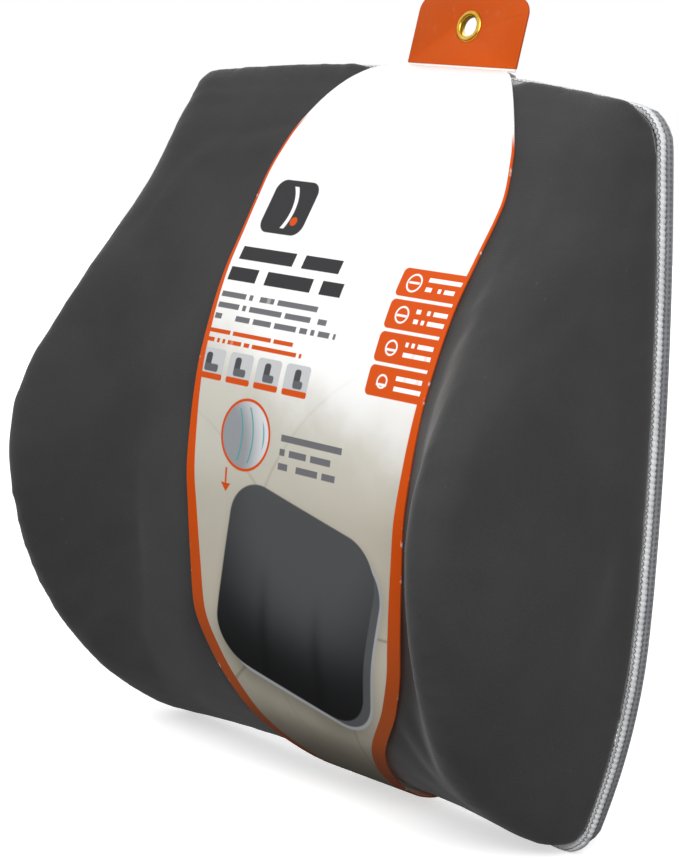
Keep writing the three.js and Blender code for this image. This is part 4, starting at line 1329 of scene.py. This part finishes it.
def ring_profile(name, node, middle, front, axial, radial, brass):
    """A pressed ring: its section drawn as a chain of points and spun round the hole's axis."""
    inner, outer = radial.min(), radial.max()
    face, back = axial.max(), axial.min()
    sheet = 0.5 * MM
    rolled = []
    if node == "eyelet":
        span = (outer - inner) / 2
        for step in range(9):
            angle = math.pi * (1 - step / 8)
            rolled.append((inner + span + span * math.cos(angle),
                           face - sheet + sheet * 1.5 * math.sin(angle)))
        rolled += [(outer, face - sheet), (inner + sheet, face - sheet), (inner + sheet, back + sheet),
                   (inner + 2.6 * sheet, back + sheet), (inner + 2.8 * sheet, back + 0.4 * sheet),
                   (inner + 2.2 * sheet, back), (inner + 0.4 * sheet, back), (inner, back + 0.5 * sheet)]
    else:
        thick = (face - back) / 2
        for step in range(12):
            angle = 2 * math.pi * step / 12
            rolled.append(((inner + outer) / 2 + (outer - inner) / 2 * math.cos(angle),
                           (face + back) / 2 + thick * math.sin(angle)))
    ring = start(name, bpy.ops.mesh.primitive_circle_add, vertices=len(rolled), radius=1, location=(0, 0, 0))
    for vertex, (r, a) in zip(ring.data.vertices, rolled):
        vertex.co = (r, 0, a)
    edit(ring, "VERT")
    bpy.ops.mesh.spin(steps=48, angle=2 * math.pi, center=(0, 0, 0), axis=(0, 0, 1))
    bpy.ops.mesh.select_all(action="SELECT")
    bpy.ops.mesh.remove_doubles(threshold=1e-6)
    bpy.ops.mesh.normals_make_consistent(inside=False)
    done()
    ring.data.transform(Matrix.Translation(middle) @ front.to_track_quat("Z", "Y").to_matrix().to_4x4())
    smooth(ring, 50)
    finish_piece(ring, brass, [node], "hang_tab")


# ---------------------------------------------------------------- everything in order
def build():
    add_camera()
    add_studio()
    floor = start("floor", bpy.ops.mesh.primitive_circle_add, vertices=64, radius=4, fill_type="NGON",
                  location=(0, 0, -0.0004))
    floor.data.materials.append(floor_finish())

    outline = Outline("side_band")
    grey_thread = thread_finish("grey_thread", ink(92, 93, 96), ink(128, 129, 132))
    black_thread = thread_finish("black_thread", ink(18, 18, 19), ink(44, 44, 46))
    # the last colour given to each mesh is painted shade inside its holes
    panel_mesh = spacer_mesh_finish("back_mesh", ink(118, 120, 124), ink(138, 140, 144), ink(40, 41, 43))
    band_mesh = spacer_mesh_finish("band_mesh", ink(134, 136, 141), ink(154, 156, 160), ink(98, 99, 103),
                                   "along")
    tape_cloth = webbing_finish("zipper_tape_cloth", ink(24, 24, 26), ink(50, 51, 54), 1.1)
    coil_plastic = moulded_finish("coil_plastic", ink(26, 26, 28), ink(40, 40, 43), 0.3)
    strap_cloth = webbing_finish("strap_webbing", ink(16, 16, 18), ink(44, 45, 48), 1.9)
    buckle_plastic = moulded_finish("acetal_black", ink(20, 20, 22), ink(38, 38, 41), 0.34)
    plated = metal_finish("plated_zinc", ink(150, 152, 156), ink(188, 190, 194), 0.28)
    brass = metal_finish("brass", ink(222, 168, 52), ink(240, 196, 92), 0.2)

    make_cover(outline, knit_finish())
    lining = woven_finish("liner_cloth", ink(206, 206, 202), ink(228, 228, 224), 0.9)
    make_foam_and_liner(foam_finish(), lining)
    count = make_piping(outline, gathered_finish())
    low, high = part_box("front_piping")
    rise = high.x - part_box("side_band")[1].x
    for name, place, outer, reach, flip, thread in (
        ("cover_zigzag", low.y - 0.5 * MM, rise * 0.5, 0.55 * MM, 1, black_thread),
        ("band_zigzag", high.y, rise * 0.45, 0.5 * MM, -1, grey_thread),
    ):
        zigzag(name, outline, count, place, 0.1 * MM, outer, reach, flip, thread)
    make_corner_pleat(outline, gathered_finish())
    make_band(outline, band_mesh)
    make_back_panel("back_panel_lower", "back_mesh_lower", outline, panel_mesh)
    make_back_panel("back_panel_upper", "back_mesh_upper", outline, panel_mesh)
    back_topstitch(outline, grey_thread)
    make_zipper(tape_cloth, coil_plastic, plated)

    make_webbing("strap_short", "webbing_short", strap_cloth)
    long_strap = make_webbing("strap_long", "webbing_long", strap_cloth, body=None)
    low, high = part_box("strap_long")
    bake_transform(long_strap)
    make_webbing("strap_tail", "webbing_tail", strap_cloth, body="plug")
    make_patch("left", strap_cloth, grey_thread)
    make_patch("right", strap_cloth, grey_thread)
    make_buckle(buckle_plastic)
    make_label(woven_finish("label_satin", ink(226, 226, 224), ink(244, 244, 242), 0.5), grey_thread)

    make_card("sleeve_front", "card_front", -1, 24, 3 * MM, printed_finish())
    plain = card_finish("plain_card", ink(226, 222, 214), ink(238, 235, 228), 0.5)
    make_card("sleeve_back", "card_back", 1, 8, 4 * MM, plain)
    make_tab(tab_finish(), plain, brass)


build()
